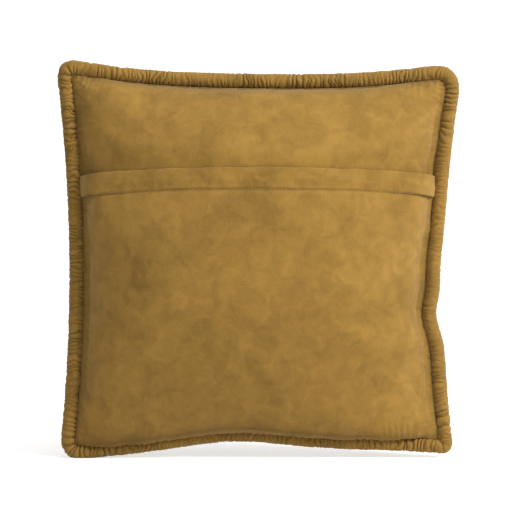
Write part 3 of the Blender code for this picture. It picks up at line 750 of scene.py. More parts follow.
@dataclass
class VelvetPanel:
    """One cut of velvet, a single cloth thick."""

    name: str
    node: str
    cushion: Cushion
    wrinkling: Wrinkling
    columns: int = 190
    rows: int = 170
    cloth: float = 0.0012
    pinch: Pinch = Pinch()

    def places(self, across: np.ndarray, up: np.ndarray) -> np.ndarray:
        """The panel's middle surface before it creases.

        Args:
            across: Places across from 0 to 1, evenly spaced in angle.
            up: Places up the panel from 0 to 1.

        Returns:
            Rows of places going up, each going across.
        """
        raise NotImplementedError

    def creased(self, points: np.ndarray, outward: np.ndarray) -> np.ndarray:
        """Adds swells everywhere and puckers near the piping."""
        w = self.wrinkling
        swell = field_noise(points, 0.085, w.seed) + 0.45 * field_noise(points, 0.034, w.seed + 9)
        distance, along = self.to_seam(points)
        phase = along / w.pitch + 0.9 * field_noise(points, 0.045, w.seed + 5)
        fold = 1 - 2 * np.abs(np.sin(np.pi * phase)) ** 0.8
        strength = 0.35 + 0.65 * smoothstep(0.5 + 0.7 * field_noise(points, 0.05, w.seed + 2))
        pucker = fold * strength * np.exp(-((distance / w.reach) ** 1.3))
        pucker = pucker * smoothstep(distance / (2.5 * MM))
        away = smoothstep(distance / (18 * MM)) * self.loose(points)
        rise = w.broad * swell * away + w.pucker * pucker
        return points + outward * rise[..., None]

    def loose(self, points: np.ndarray) -> np.ndarray:
        """How freely the cloth swells at each place, from 0 to 1."""
        return np.ones(points.shape[:-1])

    def pinched(self, points: np.ndarray) -> np.ndarray:
        """Draws the cloth in beside the upright pipings, which leaves a deep groove there."""
        result = points.copy()
        result[..., 0] -= self.pinch.along_x(points, self.cushion.rim)
        return result

    def to_seam(self, points: np.ndarray) -> tuple[np.ndarray, np.ndarray]:
        """The distance from each place to the seam in the seam's plane, and the place along it."""
        loop = self.cushion.outline.loop(self.cushion.seam_inset, 1200)
        flat = points[..., [0, 2]].reshape(-1, 2)
        distance = np.empty(len(flat))
        along = np.empty(len(flat))
        step = float(np.linalg.norm(loop[1] - loop[0]))
        for start in range(0, len(flat), 4000):
            part = flat[start : start + 4000]
            gaps = ((part[:, None] - loop[None]) ** 2).sum(axis=2)
            nearest = gaps.argmin(axis=1)
            distance[start : start + 4000] = np.sqrt(gaps[np.arange(len(part)), nearest])
            along[start : start + 4000] = nearest * step
        return distance.reshape(points.shape[:-1]), along.reshape(points.shape[:-1])

    def build(self) -> bpy.types.Object:
        """Makes the panel, rides it on the pillow and replaces its CAD node."""
        across = np.linspace(0, 1, self.columns)
        points = self.pinched(self.places(across, np.linspace(0, 1, self.rows)))
        outward = Grid(points).normals()
        face = 1 if points[self.rows // 2, self.columns // 2, 1] > 0 else -1
        if outward[self.rows // 2, self.columns // 2, 1] * face < 0:
            outward = -outward
        points = self.creased(points, outward)
        thing = new_piece(self.name, points, Grid(points).faces())
        # Painted shade: the crease attribute darkens the velvet towards the seam, fading over about
        # 5 mm, in the groove beside the piping.
        distance, _ = self.to_seam(points)
        mark(thing, "crease", 0.55 * np.exp(-distance / (5 * MM)))
        middle = thing.data.polygons[len(thing.data.polygons) // 2]
        if middle.normal.y * face < 0:
            thing.data.flip_normals()
        wall = thing.modifiers.new("Solidify", "SOLIDIFY")
        wall.thickness = self.cloth
        wall.offset = -1.0
        apply_all(thing)
        thing.data.shade_smooth()
        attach(thing, "pillow")
        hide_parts(self.node)
        return thing


@dataclass
class FrontPanel(VelvetPanel):
    """The whole front face."""

    def places(self, across: np.ndarray, up: np.ndarray) -> np.ndarray:
        """The front of the stuffed shape."""
        return self.cushion.free(Face.FRONT, across, up)


@dataclass
class LowerBackPanel(VelvetPanel):
    """The back below the placket, which bellies down over the bottom piping.

    Attributes:
        edge_up: Where the panel's top edge lies, in metres above the zip.
        level: How far outside the zip's line that edge lies.
        belly: How far the panel hangs over the bottom piping.
        belly_top: Height at which the belly ends.
        roll: How far the cloth stands up just below the stitches.
        still_at: Height at which the cloth stops swelling, near the stitches.
        still_over: Height over which it stops.
    """

    edge_up: float = -0.0125
    level: float = 0.0018
    belly: float = 0.0105
    belly_top: float = 0.14
    roll: float = 0.0016
    still_at: float = 0.345
    still_over: float = 0.03

    def places(self, across: np.ndarray, up: np.ndarray) -> np.ndarray:
        """The lower back, with its belly and the roll below the stitches."""
        points = self.cushion.back(across, up, self.edge_up, self.level)
        inside = smoothstep(across / 0.16) * smoothstep((1 - across) / 0.2)
        height = -points[..., 1] - self.cushion.rim
        low = smoothstep((self.belly_top - points[..., 2]) / 0.04)
        profile = smoothstep(height / 0.013) * (1 - smoothstep((height - 0.020) / 0.034)) * low
        points[..., 2] -= self.belly * profile * inside[None, :]
        line = self.cushion.on_band(across, self.edge_up, self.level)
        below = np.maximum(line[None, :, 2] - 1.5 * MM - points[..., 2], 0)
        lift = self.roll * smoothstep(below / 0.004) * (1 - smoothstep(below / 0.05))
        middle = smoothstep(across / 0.12) * smoothstep((1 - across) / 0.12)
        points[..., 1] -= lift * middle[None, :]
        return points

    def loose(self, points: np.ndarray) -> np.ndarray:
        """Held still by the stitches, and free below them."""
        return smoothstep((self.still_at - points[..., 2]) / self.still_over)


@dataclass
class UpperBackPanel(VelvetPanel):
    """The back above the placket.

    Attributes:
        edge_up: Where the panel's lower edge lies, in metres above the zip.
        level: How far outside the zip's line that edge lies.
        still_at: Height at which the cloth starts to swell, above the lap.
        still_over: Height over which it starts.
    """

    edge_up: float = 0.0050
    level: float = 0.0018
    rows: int = 90
    still_at: float = 0.352
    still_over: float = 0.03

    def places(self, across: np.ndarray, up: np.ndarray) -> np.ndarray:
        """The upper back, from the zip up to the top seam."""
        return self.cushion.back(across, up, self.edge_up, self.level)[::-1]

    def loose(self, points: np.ndarray) -> np.ndarray:
        """Held still by the zip's seam, and free above it."""
        return smoothstep((points[..., 2] - self.still_at) / self.still_over)


# ---------------------------------------------------------------- placket


@dataclass
class Placket:
    """The folded lap over the zip and the row of stitches that holds it.

    Attributes:
        zip_line: The line of the zip.
        stitch_up: Where the stitches lie, in metres above the zip.
        fold_up: Where the free fold lies.
        base_level: How far outside the zip's line the lap lies at the stitches.
        full_level: How far outside it stands over the zip.
        low_level: How far outside it stands beyond the zip's ends.
        inner_level: How far outside its inner side lies.
        end_x: Distance from the middle at which it is low again.
        end_over: Distance over which it comes down.
        columns: Places along it.
    """

    zip_line: ZipLine
    stitch_up: float = -0.0140
    fold_up: float = 0.0110
    base_level: float = 0.0022
    full_level: float = 0.0064
    low_level: float = 0.0046
    inner_level: float = 0.0043
    end_x: float = 0.2080
    end_over: float = 0.030
    columns: int = 420

    def outer(self, along: np.ndarray, share: np.ndarray) -> tuple[np.ndarray, np.ndarray]:
        """The lap's outer side.

        Args:
            along: How far across from the middle, in metres.
            share: Places from 0 at the stitches to 1 at the fold.

        Returns:
            How far up and how far outside the zip's line each place lies.
        """
        along, share = np.broadcast_arrays(along, share)
        line = np.stack([along, np.zeros_like(along), 0 * along], axis=-1)
        crest = self.crest(along)
        wave = field_noise(line, 0.030, 21.0)
        fine = field_noise(line, 0.011, 27.0)
        fold = self.fold_up + 0.0007 * wave
        up = self.stitch_up + (fold - self.stitch_up) * share
        swell = 0.35 * smoothstep(share / 0.10) + 0.65 * smoothstep(share / 0.55)
        level = self.base_level + (crest - self.base_level) * swell
        both = np.stack([along, up * 1.6, 0 * along], axis=-1)
        pull = np.abs(np.sin(np.pi * along / 0.0185 + 2 * wave)) ** 1.5
        level = level + 0.0008 * field_noise(both, 0.022, 5.0) * swell
        level = level - 0.0004 * pull * np.exp(-(((share - 0.20) / 0.16) ** 2))
        level = level + 0.0004 * fine * smoothstep((share - 0.6) / 0.4)
        return up, level

    def crest(self, along: np.ndarray) -> np.ndarray:
        """How far outside the zip's line the lap stands, lower beyond the zip's ends."""
        end = smoothstep((self.end_x - np.abs(along)) / self.end_over)
        return self.low_level + (self.full_level - self.low_level) * end

    def reach(self) -> np.ndarray:
        """Places along the lap."""
        line = self.zip_line
        spots = np.linspace(-1, 1, self.columns)
        return np.where(spots < 0, spots * line.reach_left, spots * line.reach_right)

    def lap(self) -> bpy.types.Object:
        """The folded strip of velvet."""
        along = self.reach()
        outer_share = np.linspace(0, 1, 40)
        up, level = self.outer(along[:, None], outer_share[None, :])
        inner = np.full(len(along), self.inner_level)
        inner = np.minimum(inner, level[:, -1] - 0.0016)
        turn = np.linspace(0, np.pi, 11)[1:-1]
        middle = (level[:, -1] + inner) / 2
        radius = (level[:, -1] - inner) / 2
        turn_up = up[:, -1:] + 1.15 * radius[:, None] * np.sin(turn)
        turn_level = middle[:, None] + radius[:, None] * np.cos(turn)
        back_share = np.linspace(1, 0, 12)
        back_up = self.stitch_up + (up[:, -1:] - self.stitch_up) * back_share
        low = self.base_level - 0.0005
        rise = smoothstep(back_share / 0.5)
        back_level = low + (inner[:, None] - low) * rise[None, :]
        ups = np.concatenate([up, turn_up, back_up], axis=1)
        levels = np.concatenate([level, turn_level, back_level], axis=1)
        points = self.zip_line.at(along[:, None], levels, ups)
        faces = Grid(points).faces(closed=True)
        ring = points.shape[1]
        faces.append(tuple(range(ring)))
        faces.append(tuple(range(points.shape[0] * ring - 1, (points.shape[0] - 1) * ring - 1, -1)))
        thing = new_piece("placket_lap_velvet", points, faces)
        faces_out(thing)
        return thing

    def hem(self) -> tuple[float, float, float]:
        """The middle of the lap's stitched edge."""
        spot = self.zip_line.at(np.array(0.0), np.array(self.base_level), np.array(self.stitch_up))
        return float(spot[0]), float(spot[1]), float(spot[2])

    def stitches(self, length: float = 3.5 * MM, gap: float = 1.0 * MM) -> bpy.types.Object:
        """The row of stitches, each a small capsule pulled into the velvet."""
        line = self.zip_line
        count = int((line.reach_left + line.reach_right - 4 * MM) / (length + gap))
        places = np.linspace(-line.reach_left + 4 * MM, line.reach_right - 4 * MM, count)
        bpy.ops.mesh.primitive_uv_sphere_add(segments=8, ring_count=6, radius=0.5)
        pattern = bpy.context.view_layer.objects.active
        ball = np.array([v.co for v in pattern.data.vertices])
        quads = [tuple(p.vertices) for p in pattern.data.polygons]
        bpy.data.objects.remove(pattern, do_unlink=True)
        step = 0.5 * MM
        rng = np.random.default_rng(8)
        points, faces = [], []
        for place in places:
            lean = rng.normal(0, 0.15 * MM)
            here = line.at(np.array(place), np.array(self.base_level), np.array(self.stitch_up))
            ahead = line.at(
                np.array(place + step), np.array(self.base_level), np.array(self.stitch_up)
            )
            along = unit(ahead - here + lean * line.up * step / length)
            out = unit(line.at(np.array(place), np.array(0.01), np.array(0.0))
                       - line.at(np.array(place), np.array(0.0), np.array(0.0)))
            up = np.cross(out, along)
            size = np.array([length, 0.95 * MM, 0.85 * MM])
            local = np.sign(ball) * np.abs(ball * 2) ** np.array([0.8, 1.0, 1.0]) * 0.5 * size
            base = here + 0.35 * MM * out
            placed = base + local[:, :1] * along + local[:, 1:2] * up + local[:, 2:] * out
            start = len(points) * len(ball)
            points.append(placed)
            faces += [tuple(start + k for k in quad) for quad in quads]
        thing = new_piece("placket_stitches", np.concatenate(points), faces)
        faces_out(thing)
        return thing


# ---------------------------------------------------------------- piping


@dataclass(frozen=True)
class Ruching:
    """How the piping's velvet is gathered on its cord.

    Attributes:
        pitch: How far apart the main folds are on average, in metres.
        depth: How deep they are.
        fine: Depth of the small folds between them.
        fine_pitch: How far apart those are, as a share of the pitch.
        spread: How unevenly they are spaced, as a share of the pitch.
        skew: How far a fold wanders along the cord on its way round.
    """

    pitch: float = 0.0056
    depth: float = 0.0024
    fine: float = 0.0006
    fine_pitch: float = 0.42
    spread: float = 0.42
    skew: float = 0.0042


@dataclass
class Piping:
    """The fat gathered piping all round, with the flange that is sewn between the panels.

    Attributes:
        outline: The pillow's outline.
        radius: The piping's radius.
        flange_half: Half the flange's thickness.
        flange_depth: How deep the flange reaches into the seam.
        ruching: How the velvet is gathered.
        stations: Sections round the velvet.
        sides: Places round each section of the velvet.
        cord_stations: Sections round the cord.
        cord_sides: Places round each section of the cord.
        cord_turns: Times the cord's strands wind round it, over the whole loop.
        cord_gap: How much less the cord's radius is than the piping's.
        strand: How far each strand stands out.
        upright_middle: Height of the middle of the upright sides.
    """

    outline: Outline
    radius: float
    flange_half: float
    flange_depth: float
    ruching: Ruching = Ruching()
    stations: int = 2900
    sides: int = 27
    cord_stations: int = 700
    cord_sides: int = 18
    cord_turns: int = 13
    cord_gap: float = 3.0 * MM
    strand: float = 0.55 * MM
    upright_middle: float = 0.25

    def spine(self, count: int) -> tuple[np.ndarray, np.ndarray, np.ndarray, np.ndarray]:
        """The line that the piping is swept round.

        Args:
            count: Places round the whole loop.

        Returns:
            The loop in X and Z, then its places, the way ahead and the way inward in X, Y and Z.
        """
        loop = self.outline.loop(self.radius, count)
        ahead = np.roll(loop, -1, axis=0) - np.roll(loop, 1, axis=0)
        ahead = ahead / np.linalg.norm(ahead, axis=1, keepdims=True)
        inward = np.stack([-ahead[:, 1], ahead[:, 0]], axis=1)
        flat = np.zeros(count)
        raised = [np.stack([way[:, 0], flat, way[:, 1]], axis=1) for way in (loop, ahead, inward)]
        return loop, *raised

    def ring(self, name: str, points: np.ndarray) -> bpy.types.Object:
        """A closed piece from sections that follow each other round the whole loop."""
        closed = np.concatenate([points, points[:1]], axis=0)
        count = points.shape[0] * points.shape[1]
        faces = [tuple(k % count for k in quad) for quad in Grid(closed).faces(closed=True)]
        thing = new_piece(name, points, faces)
        faces_out(thing)
        return thing

    def cover(self) -> bpy.types.Object:
        """The gathered velvet, with painted shade in its folds."""
        r = self.ruching
        loop, centre, ahead3, inward3 = self.spine(self.stations)
        lengths = np.linalg.norm(np.roll(loop, -1, axis=0) - loop, axis=1)
        along = np.concatenate([[0], np.cumsum(lengths)[:-1]])
        total = float(lengths.sum())
        opening = math.asin(self.flange_half / self.radius)
        angles = np.linspace(opening, 2 * math.pi - opening, self.sides)
        circle = np.stack([np.cos(angles), np.sin(angles)], axis=1)
        normal = circle[None, :, :1] * inward3[:, None] + circle[None, :, 1:] * ACROSS
        round_points = centre[:, None] + normal * self.radius
        wander = field_noise(round_points, 0.021, 31.0)
        wander = wander + 0.5 * field_noise(round_points, 0.009, 37.0)
        at = (along[:, None] + r.skew * wander) % total
        main = np.interp(at, *self.folds(total, r.pitch, 11))
        small = np.interp(at, *self.folds(total, r.pitch * r.fine_pitch, 12))
        crease = 1 - np.abs(np.sin(np.pi * main)) ** 0.55
        crease2 = 1 - np.abs(np.sin(np.pi * small)) ** 0.8
        patch = field_noise(round_points, 0.028, 43.0)
        swell = field_noise(round_points, 0.014, 47.0)
        strength = self.strength(loop)[:, None] * (0.60 + 0.75 * smoothstep(0.5 + 0.8 * patch))
        near_seam = 0.62 + 0.38 * np.abs(np.cos(angles / 2))[None, :] ** 1.5
        sink = r.depth * crease * strength * near_seam
        sink = sink + r.fine * crease2 * (0.5 + 0.5 * smoothstep(0.5 - patch)) * strength**0.5
        radius = self.radius + 0.0005 - sink + 0.00035 * swell
        slip = 0.0007 * field_noise(round_points, 0.013, 53.0)
        tube = centre[:, None] + normal * radius[..., None] + ahead3[:, None] * slip[..., None]
        points = np.concatenate([self.leaf(centre, inward3, 1), tube,
                                 self.leaf(centre, inward3, -1)[:, ::-1]], axis=1)
        thing = self.ring("piping_velvet_cover", points)
        # Painted shade: the crease attribute darkens the velvet in the deeper folds, by how far
        # each place is sunk.
        shadow = np.zeros(points.shape[:2])
        shadow[:, 3:-3] = np.clip(sink / r.depth, 0, 1) ** 1.2 * 0.75
        mark(thing, "crease", shadow)
        return thing

    def folds(self, total: float, pitch: float, seed: int) -> tuple[np.ndarray, np.ndarray]:
        """Uneven fold places round the whole loop, and the number of each."""
        rng = np.random.default_rng(seed)
        count = int(round(total / pitch))
        gaps = np.clip(1 + self.ruching.spread * rng.standard_normal(count), 0.45, 1.9)
        places = np.concatenate([[0], np.cumsum(gaps)]) * total / gaps.sum()
        return places, np.arange(count + 1, dtype=float)

    def strength(self, loop: np.ndarray) -> np.ndarray:
        """How deep the folds are at each place: deepest along the top and bottom."""
        right = smoothstep((loop[:, 0] - 0.17) / 0.05)
        left = smoothstep((-loop[:, 0] - 0.17) / 0.05)
        upright = smoothstep((0.19 - np.abs(loop[:, 1] - self.upright_middle)) / 0.05)
        return 1.0 - 0.38 * right * upright - 0.10 * left * upright

    def leaf(self, centre: np.ndarray, inward: np.ndarray, side: int) -> np.ndarray:
        """One side of the flange, from its raw edge to the cord."""
        depths = np.linspace(self.radius + self.flange_depth, self.radius + 0.0003, 3)
        return (
            centre[:, None]
            + inward[:, None] * depths[None, :, None]
            + np.array([0.0, side * self.flange_half, 0.0])
        )

    def cord(self) -> bpy.types.Object:
        """The soft filler cord inside the piping."""
        loop, centre, _, inward = self.spine(self.cord_stations)
        angles = np.linspace(0, 2 * math.pi, self.cord_sides, endpoint=False)
        steps = np.arange(len(loop))[:, None]
        turn = steps * 2 * math.pi * 3 / self.cord_stations * self.cord_turns
        strand = self.strand * np.cos(3 * angles[None, :] + turn)
        radius = self.radius - self.cord_gap + strand
        normal = (np.cos(angles)[None, :, None] * inward[:, None]
                  + np.sin(angles)[None, :, None] * ACROSS)
        return self.ring("piping_filler_cord", centre[:, None] + normal * radius[..., None])


# ---------------------------------------------------------------- hidden soft pieces


@dataclass(frozen=True)
class SoftCopy:
    """A soft inner piece, made from its plain CAD solid.

    Attributes:
        node: The CAD node.
        name: The new piece's name.
        levels: Levels of subdivision.
        slot: The record's material slot.
        slimmer: The share of the solid's thickness that is kept.
        crease: Depth of its creases, in metres.
    """

    node: str
    name: str
    levels: int
    slot: str
    slimmer: float
    crease: float = 0.0012

    def build(self) -> bpy.types.Object:
        """Copies, smooths and creases the solid."""
        thing = frame["nodes"][self.node].copy()
        thing.data = frame["nodes"][self.node].data.copy()
        thing.name = self.name
        thing.parent = None
        thing.matrix_world.identity()
        bpy.context.collection.objects.link(thing)
        thing.hide_render = False
        for key in list(thing.keys()):
            del thing[key]
        only(thing)
        bpy.ops.object.mode_set(mode="EDIT")
        bpy.ops.mesh.select_all(action="SELECT")
        bpy.ops.mesh.remove_doubles(threshold=0.00001)
        bpy.ops.mesh.tris_convert_to_quads()
        bpy.ops.object.mode_set(mode="OBJECT")
        if self.levels:
            soft = thing.modifiers.new("Subdivision", "SUBSURF")
            soft.levels = soft.render_levels = self.levels
            apply_all(thing)
        mesh = thing.data
        points = np.array([v.co for v in mesh.vertices])
        flat = points * np.array([1.0, 0.0, 1.0])
        rise = field_noise(flat, 0.05, 61.0) + 0.5 * field_noise(flat, 0.018, 67.0)
        sink = self.crease * smoothstep(0.5 + 0.6 * rise)
        height = np.abs(points[:, 1])
        points[:, 1] *= self.slimmer * (1 - sink / np.maximum(height, 0.02))
        mesh.vertices.foreach_set("co", points.ravel())
        mesh.update()
        mesh.shade_smooth()
        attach(thing, "pillow")
        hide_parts(self.node)
        return thing


# ---------------------------------------------------------------- finishes


Colour = tuple[float, float, float]
Pair = tuple[float, float]
Socket = bpy.types.NodeSocket

def wire(tree: bpy.types.NodeTree, *links: tuple[Socket, Socket]) -> None:
    """Links sockets in pairs."""
    for source, target in links:
        tree.links.new(source, target)


def new_group(
    name: str, inputs: dict[str, float | None], outputs: tuple[str, ...]
) -> tuple[bpy.types.NodeTree, bpy.types.Node, bpy.types.Node]:
    """An empty shader node group.

    Args:
        name: Its name.
        inputs: Its inputs with their usual values; None makes a vector.
        outputs: Its outputs, all plain numbers.

    Returns:
        The group, its input node and its output node.
    """
    tree = bpy.data.node_groups.new(name, "ShaderNodeTree")
    for label, usual in inputs.items():
        kind = "NodeSocketVector" if usual is None else "NodeSocketFloat"
        socket = tree.interface.new_socket(label, in_out="INPUT", socket_type=kind)
        if usual is not None:
            socket.default_value = usual
    for label in outputs:
        tree.interface.new_socket(label, in_out="OUTPUT", socket_type="NodeSocketFloat")
    return tree, tree.nodes.new("NodeGroupInput"), tree.nodes.new("NodeGroupOutput")


def noise_node(
    tree: bpy.types.NodeTree, scale: float, detail: float, twist: float = 0.0
) -> bpy.types.Node:
    """A noise texture."""
    node = tree.nodes.new("ShaderNodeTexNoise")
    node.inputs["Scale"].default_value = scale
    node.inputs["Detail"].default_value = detail
    node.inputs["Distortion"].default_value = twist
    return node


def math_node(
    tree: bpy.types.NodeTree, how: str, first: Socket | float, second: Socket | float
) -> Socket:
    """The result of one operation on two sockets or numbers."""
    node = tree.nodes.new("ShaderNodeMath")
    node.operation = how
    for socket, value in zip(node.inputs, (first, second)):
        if isinstance(value, (int, float)):
            socket.default_value = value
        else:
            tree.links.new(value, socket)
    return node.outputs[0]


def pile_group() -> bpy.types.NodeTree:
    """Velvet's pile: where it is brushed another way, and its fine tufts."""
    tree, start, end = new_group("VelvetPile", {"Place": None}, ("Brushed", "Tufts"))
    wide = noise_node(tree, 9.0, 3.0, 0.8)
    close = noise_node(tree, 60.0, 5.0, 0.7)
    tufts = noise_node(tree, 1100.0, 2.0)
    clumps = noise_node(tree, 330.0, 3.0)
    for node in (wide, close, tufts, clumps):
        wire(tree, (start.outputs["Place"], node.inputs["Vector"]))
    broad = math_node(tree, "MULTIPLY", wide.outputs["Fac"], 0.50)
    small = math_node(tree, "MULTIPLY", close.outputs["Fac"], 0.50)
    grain = math_node(tree, "MULTIPLY", clumps.outputs["Fac"], 0.6)
    wire(
        tree,
        (math_node(tree, "ADD", broad, small), end.inputs["Brushed"]),
        (math_node(tree, "ADD", tufts.outputs["Fac"], grain), end.inputs["Tufts"]),
    )
    return tree


def weave_group() -> bpy.types.NodeTree:
    """Threads that cross: how high the cloth stands, and which threads are a little darker."""
    tree, start, end = new_group("Weave", {"Place": None, "Threads": 900.0}, ("Height", "Tone"))
    bands = []
    for direction in ("X", "Z"):
        band = tree.nodes.new("ShaderNodeTexWave")
        band.bands_direction = direction
        band.inputs["Distortion"].default_value = 0.6
        band.inputs["Detail"].default_value = 1.0
        wire(
            tree,
            (start.outputs["Place"], band.inputs["Vector"]),
            (start.outputs["Threads"], band.inputs["Scale"]),
        )
        bands.append(band.outputs["Fac"])
    slub = noise_node(tree, 220.0, 2.0)
    wire(tree, (start.outputs["Place"], slub.inputs["Vector"]))
    wire(
        tree,
        (math_node(tree, "MAXIMUM", bands[0], bands[1]), end.inputs["Height"]),
        (slub.outputs["Fac"], end.inputs["Tone"]),
    )
    return tree


def wear_group() -> bpy.types.NodeTree:
    """Fine unevenness of a hard or spun surface."""
    tree, start, end = new_group("Wear", {"Place": None, "Scale": 300.0}, ("Smudge", "Grain"))
    smudge = noise_node(tree, 60.0, 3.0)
    grain = noise_node(tree, 300.0, 2.0)
    wire(
        tree,
        (start.outputs["Place"], smudge.inputs["Vector"]),
        (start.outputs["Place"], grain.inputs["Vector"]),
        (start.outputs["Scale"], grain.inputs["Scale"]),
        (smudge.outputs["Fac"], end.inputs["Smudge"]),
        (grain.outputs["Fac"], end.inputs["Grain"]),
    )
    return tree


@dataclass
class Workshop:
    """A material under way: its tree, shader and the place that its patterns read."""

    name: str
    groups: dict[str, bpy.types.NodeTree]

    def __post_init__(self) -> None:
        """Starts the material."""
        self.material = bpy.data.materials.new(self.name)
        self.material.use_nodes = True
        self.tree = self.material.node_tree
        self.shader = self.tree.nodes["Principled BSDF"]
        self.place = self.tree.nodes.new("ShaderNodeTexCoord").outputs["Object"]

    def use(self, group: str, **values: float) -> bpy.types.Node:
        """Adds a group that reads the place."""
        node = self.tree.nodes.new("ShaderNodeGroup")
        node.node_tree = self.groups[group]
        for label, value in values.items():
            node.inputs[label].default_value = value
        wire(self.tree, (self.place, node.inputs["Place"]))
        return node

    def ramp(self, factor: Socket, colour: Colour, spread: Pair, ends: Pair) -> Socket:
        """A colour made darker and lighter by a factor.

        Args:
            factor: The varying factor.
            colour: The colour between.
            spread: How much of the colour its darker and lighter ends have.
            ends: The factors at which they are reached.

        Returns:
            The colour's socket.
        """
        low, high = (shade(colour, share) for share in spread)
        start, end = ends
        node = self.tree.nodes.new("ShaderNodeValToRGB")
        node.color_ramp.elements[0].position = start
        node.color_ramp.elements[0].color = (*low, 1.0)
        node.color_ramp.elements[1].position = end
        node.color_ramp.elements[1].color = (*high, 1.0)
        wire(self.tree, (factor, node.inputs["Fac"]))
        return node.outputs["Color"]

    def colour(self, socket: Socket) -> None:
        """Sets the base colour from a socket."""
        wire(self.tree, (socket, self.shader.inputs["Base Color"]))

    def bump(self, height: Socket, strength: float, distance: float) -> None:
        """Adds relief from a height."""
        node = self.tree.nodes.new("ShaderNodeBump")
        node.inputs["Strength"].default_value = strength
        node.inputs["Distance"].default_value = distance
        wire(self.tree, (height, node.inputs["Height"]))
        wire(self.tree, (node.outputs["Normal"], self.shader.inputs["Normal"]))

    def set(self, **values: float) -> None:
        """Sets plain values on the shader, its labels written with underscores."""
        for label, value in values.items():
            self.shader.inputs[label.replace("_", " ")].default_value = value


def shade(colour: Colour, factor: float) -> Colour:
    """A colour made darker or lighter."""
    return tuple(min(1.0, c * factor) for c in colour)


@dataclass(frozen=True)
class Velvet:
    """A short, dense pile whose edges catch the light."""

    name: str = "velvet"
    colour: Colour = (0.330, 0.187, 0.040)
    contrast: float = 0.20
    sheen: float = 0.55

    def make(self, groups: dict[str, bpy.types.NodeTree]) -> bpy.types.Material:
        """Builds the material, with painted shade mixed in where the mesh's crease attribute is
        set.
        """
        shop = Workshop(self.name, groups)
        pile = shop.use("pile")
        spread = (1 - self.contrast, 1 + self.contrast)
        base = shop.ramp(pile.outputs["Brushed"], self.colour, spread, (0.38, 0.62))
        # Painted shade: the colour is mixed towards a copy darkened to 30 per cent wherever the
        # crease attribute marks a seam groove or a fold of the piping.
        crease = shop.tree.nodes.new("ShaderNodeAttribute")
        crease.attribute_name = "crease"
        painted_crease_shade = shop.tree.nodes.new("ShaderNodeMix")
        painted_crease_shade.data_type = "RGBA"
        wire(shop.tree, (crease.outputs["Fac"], painted_crease_shade.inputs["Factor"]), (base, painted_crease_shade.inputs["A"]))
        painted_crease_shade.inputs["B"].default_value = (*shade(self.colour, 0.30), 1.0)
        shop.colour(painted_crease_shade.outputs["Result"])
        shop.bump(pile.outputs["Tufts"], 0.75, 0.0009)
        shop.set(Roughness=0.86, Sheen_Weight=self.sheen, Sheen_Roughness=0.42,
                 Specular_IOR_Level=0.12)
        shop.shader.inputs["Sheen Tint"].default_value = (1.0, 0.80, 0.50, 1.0)
        return shop.material


@dataclass(frozen=True)
class Spun:
    """Thread or cord."""

    name: str
    colour: Colour
    scale: float = 900.0
    roughness: float = 0.75

    def make(self, groups: dict[str, bpy.types.NodeTree]) -> bpy.types.Material:
        """Builds the material."""
        shop = Workshop(self.name, groups)
        wear = shop.use("wear", Scale=self.scale)
        shop.colour(shop.ramp(wear.outputs["Grain"], self.colour, (0.75, 1.2), (0.3, 0.7)))
        shop.bump(wear.outputs["Grain"], 0.6, 0.0003)
        shop.set(Roughness=self.roughness, Sheen_Weight=0.2)
        return shop.material


@dataclass(frozen=True)
class Woven:
    """Plain woven cloth or tape."""

    name: str
    colour: Colour
    threads: float = 900.0
    relief: float = 0.0003

    def make(self, groups: dict[str, bpy.types.NodeTree]) -> bpy.types.Material:
        """Builds the material."""
        shop = Workshop(self.name, groups)
        weave = shop.use("weave", Threads=self.threads)
        shop.colour(shop.ramp(weave.outputs["Tone"], self.colour, (0.88, 1.08), (0.35, 0.65)))
        shop.bump(weave.outputs["Height"], 0.5, self.relief)
        shop.set(Roughness=0.85, Sheen_Weight=0.15)
        return shop.material


@dataclass(frozen=True)
class Hard:
    """Metal or nylon."""

    name: str
    colour: Colour
    metallic: float
    roughness: float

    def make(self, groups: dict[str, bpy.types.NodeTree]) -> bpy.types.Material:
        """Builds the material."""
        shop = Workshop(self.name, groups)
        wear = shop.use("wear", Scale=700.0)
        shop.colour(shop.ramp(wear.outputs["Smudge"], self.colour, (0.85, 1.1), (0.3, 0.7)))
        rough = math_node(shop.tree, "MULTIPLY", wear.outputs["Smudge"], 0.25)
        wire(shop.tree, (math_node(shop.tree, "ADD", rough, self.roughness - 0.1),
                         shop.shader.inputs["Roughness"]))
        shop.bump(wear.outputs["Grain"], 0.08, 0.0002)
        shop.set(Metallic=self.metallic)
        return shop.material


def all_finishes() -> dict[str, bpy.types.Material]:
    """Every finish, by the record's slot."""
    groups = {"pile": pile_group(), "weave": weave_group(), "wear": wear_group()}
    finishes = (
        Velvet("velvet"),
        Velvet("piping_velvet", contrast=0.14),
        Spun("thread", (0.38, 0.225, 0.055)),
        Spun("cord", (0.80, 0.78, 0.72), 500.0, 0.9),
        Woven("zip_tape", (0.30, 0.19, 0.07), 1100.0),
        Hard("zip_coil", (0.32, 0.20, 0.07), 0.0, 0.42),
        Hard("zip_metal", (0.66, 0.50, 0.26), 1.0, 0.34),
        Woven("insert_cloth", (0.84, 0.83, 0.79), 700.0, 0.0002),
        Spun("insert_fibre", (0.93, 0.93, 0.92), 160.0, 0.95),
        Woven("label", (0.88, 0.88, 0.86), 1300.0, 0.0001),
    )
    return {finish.name: finish.make(groups) for finish in finishes}


def paint(thing: bpy.types.Object, material: bpy.types.Material) -> None:
    """Gives a piece one material."""
    thing.data.materials.clear()
    thing.data.materials.append(material)


# ---------------------------------------------------------------- studio


@dataclass(frozen=True)
class Lamp:
    """A soft square lamp aimed at the pillow's middle."""

    name: str
    place: tuple[float, float, float]
    size: float
    power: float
    colour: Colour = (1.0, 1.0, 1.0)

    def build(self, target: Vector) -> None:
        """Adds the lamp."""
        data = bpy.data.lights.new(self.name, "AREA")
        data.size = self.size
        data.energy = self.power
        data.color = self.colour
        lamp = bpy.data.objects.new(self.name, data)
        lamp.location = self.place
        lamp.rotation_euler = (target - Vector(self.place)).to_track_quat("-Z", "Y").to_euler()
        bpy.context.collection.objects.link(lamp)


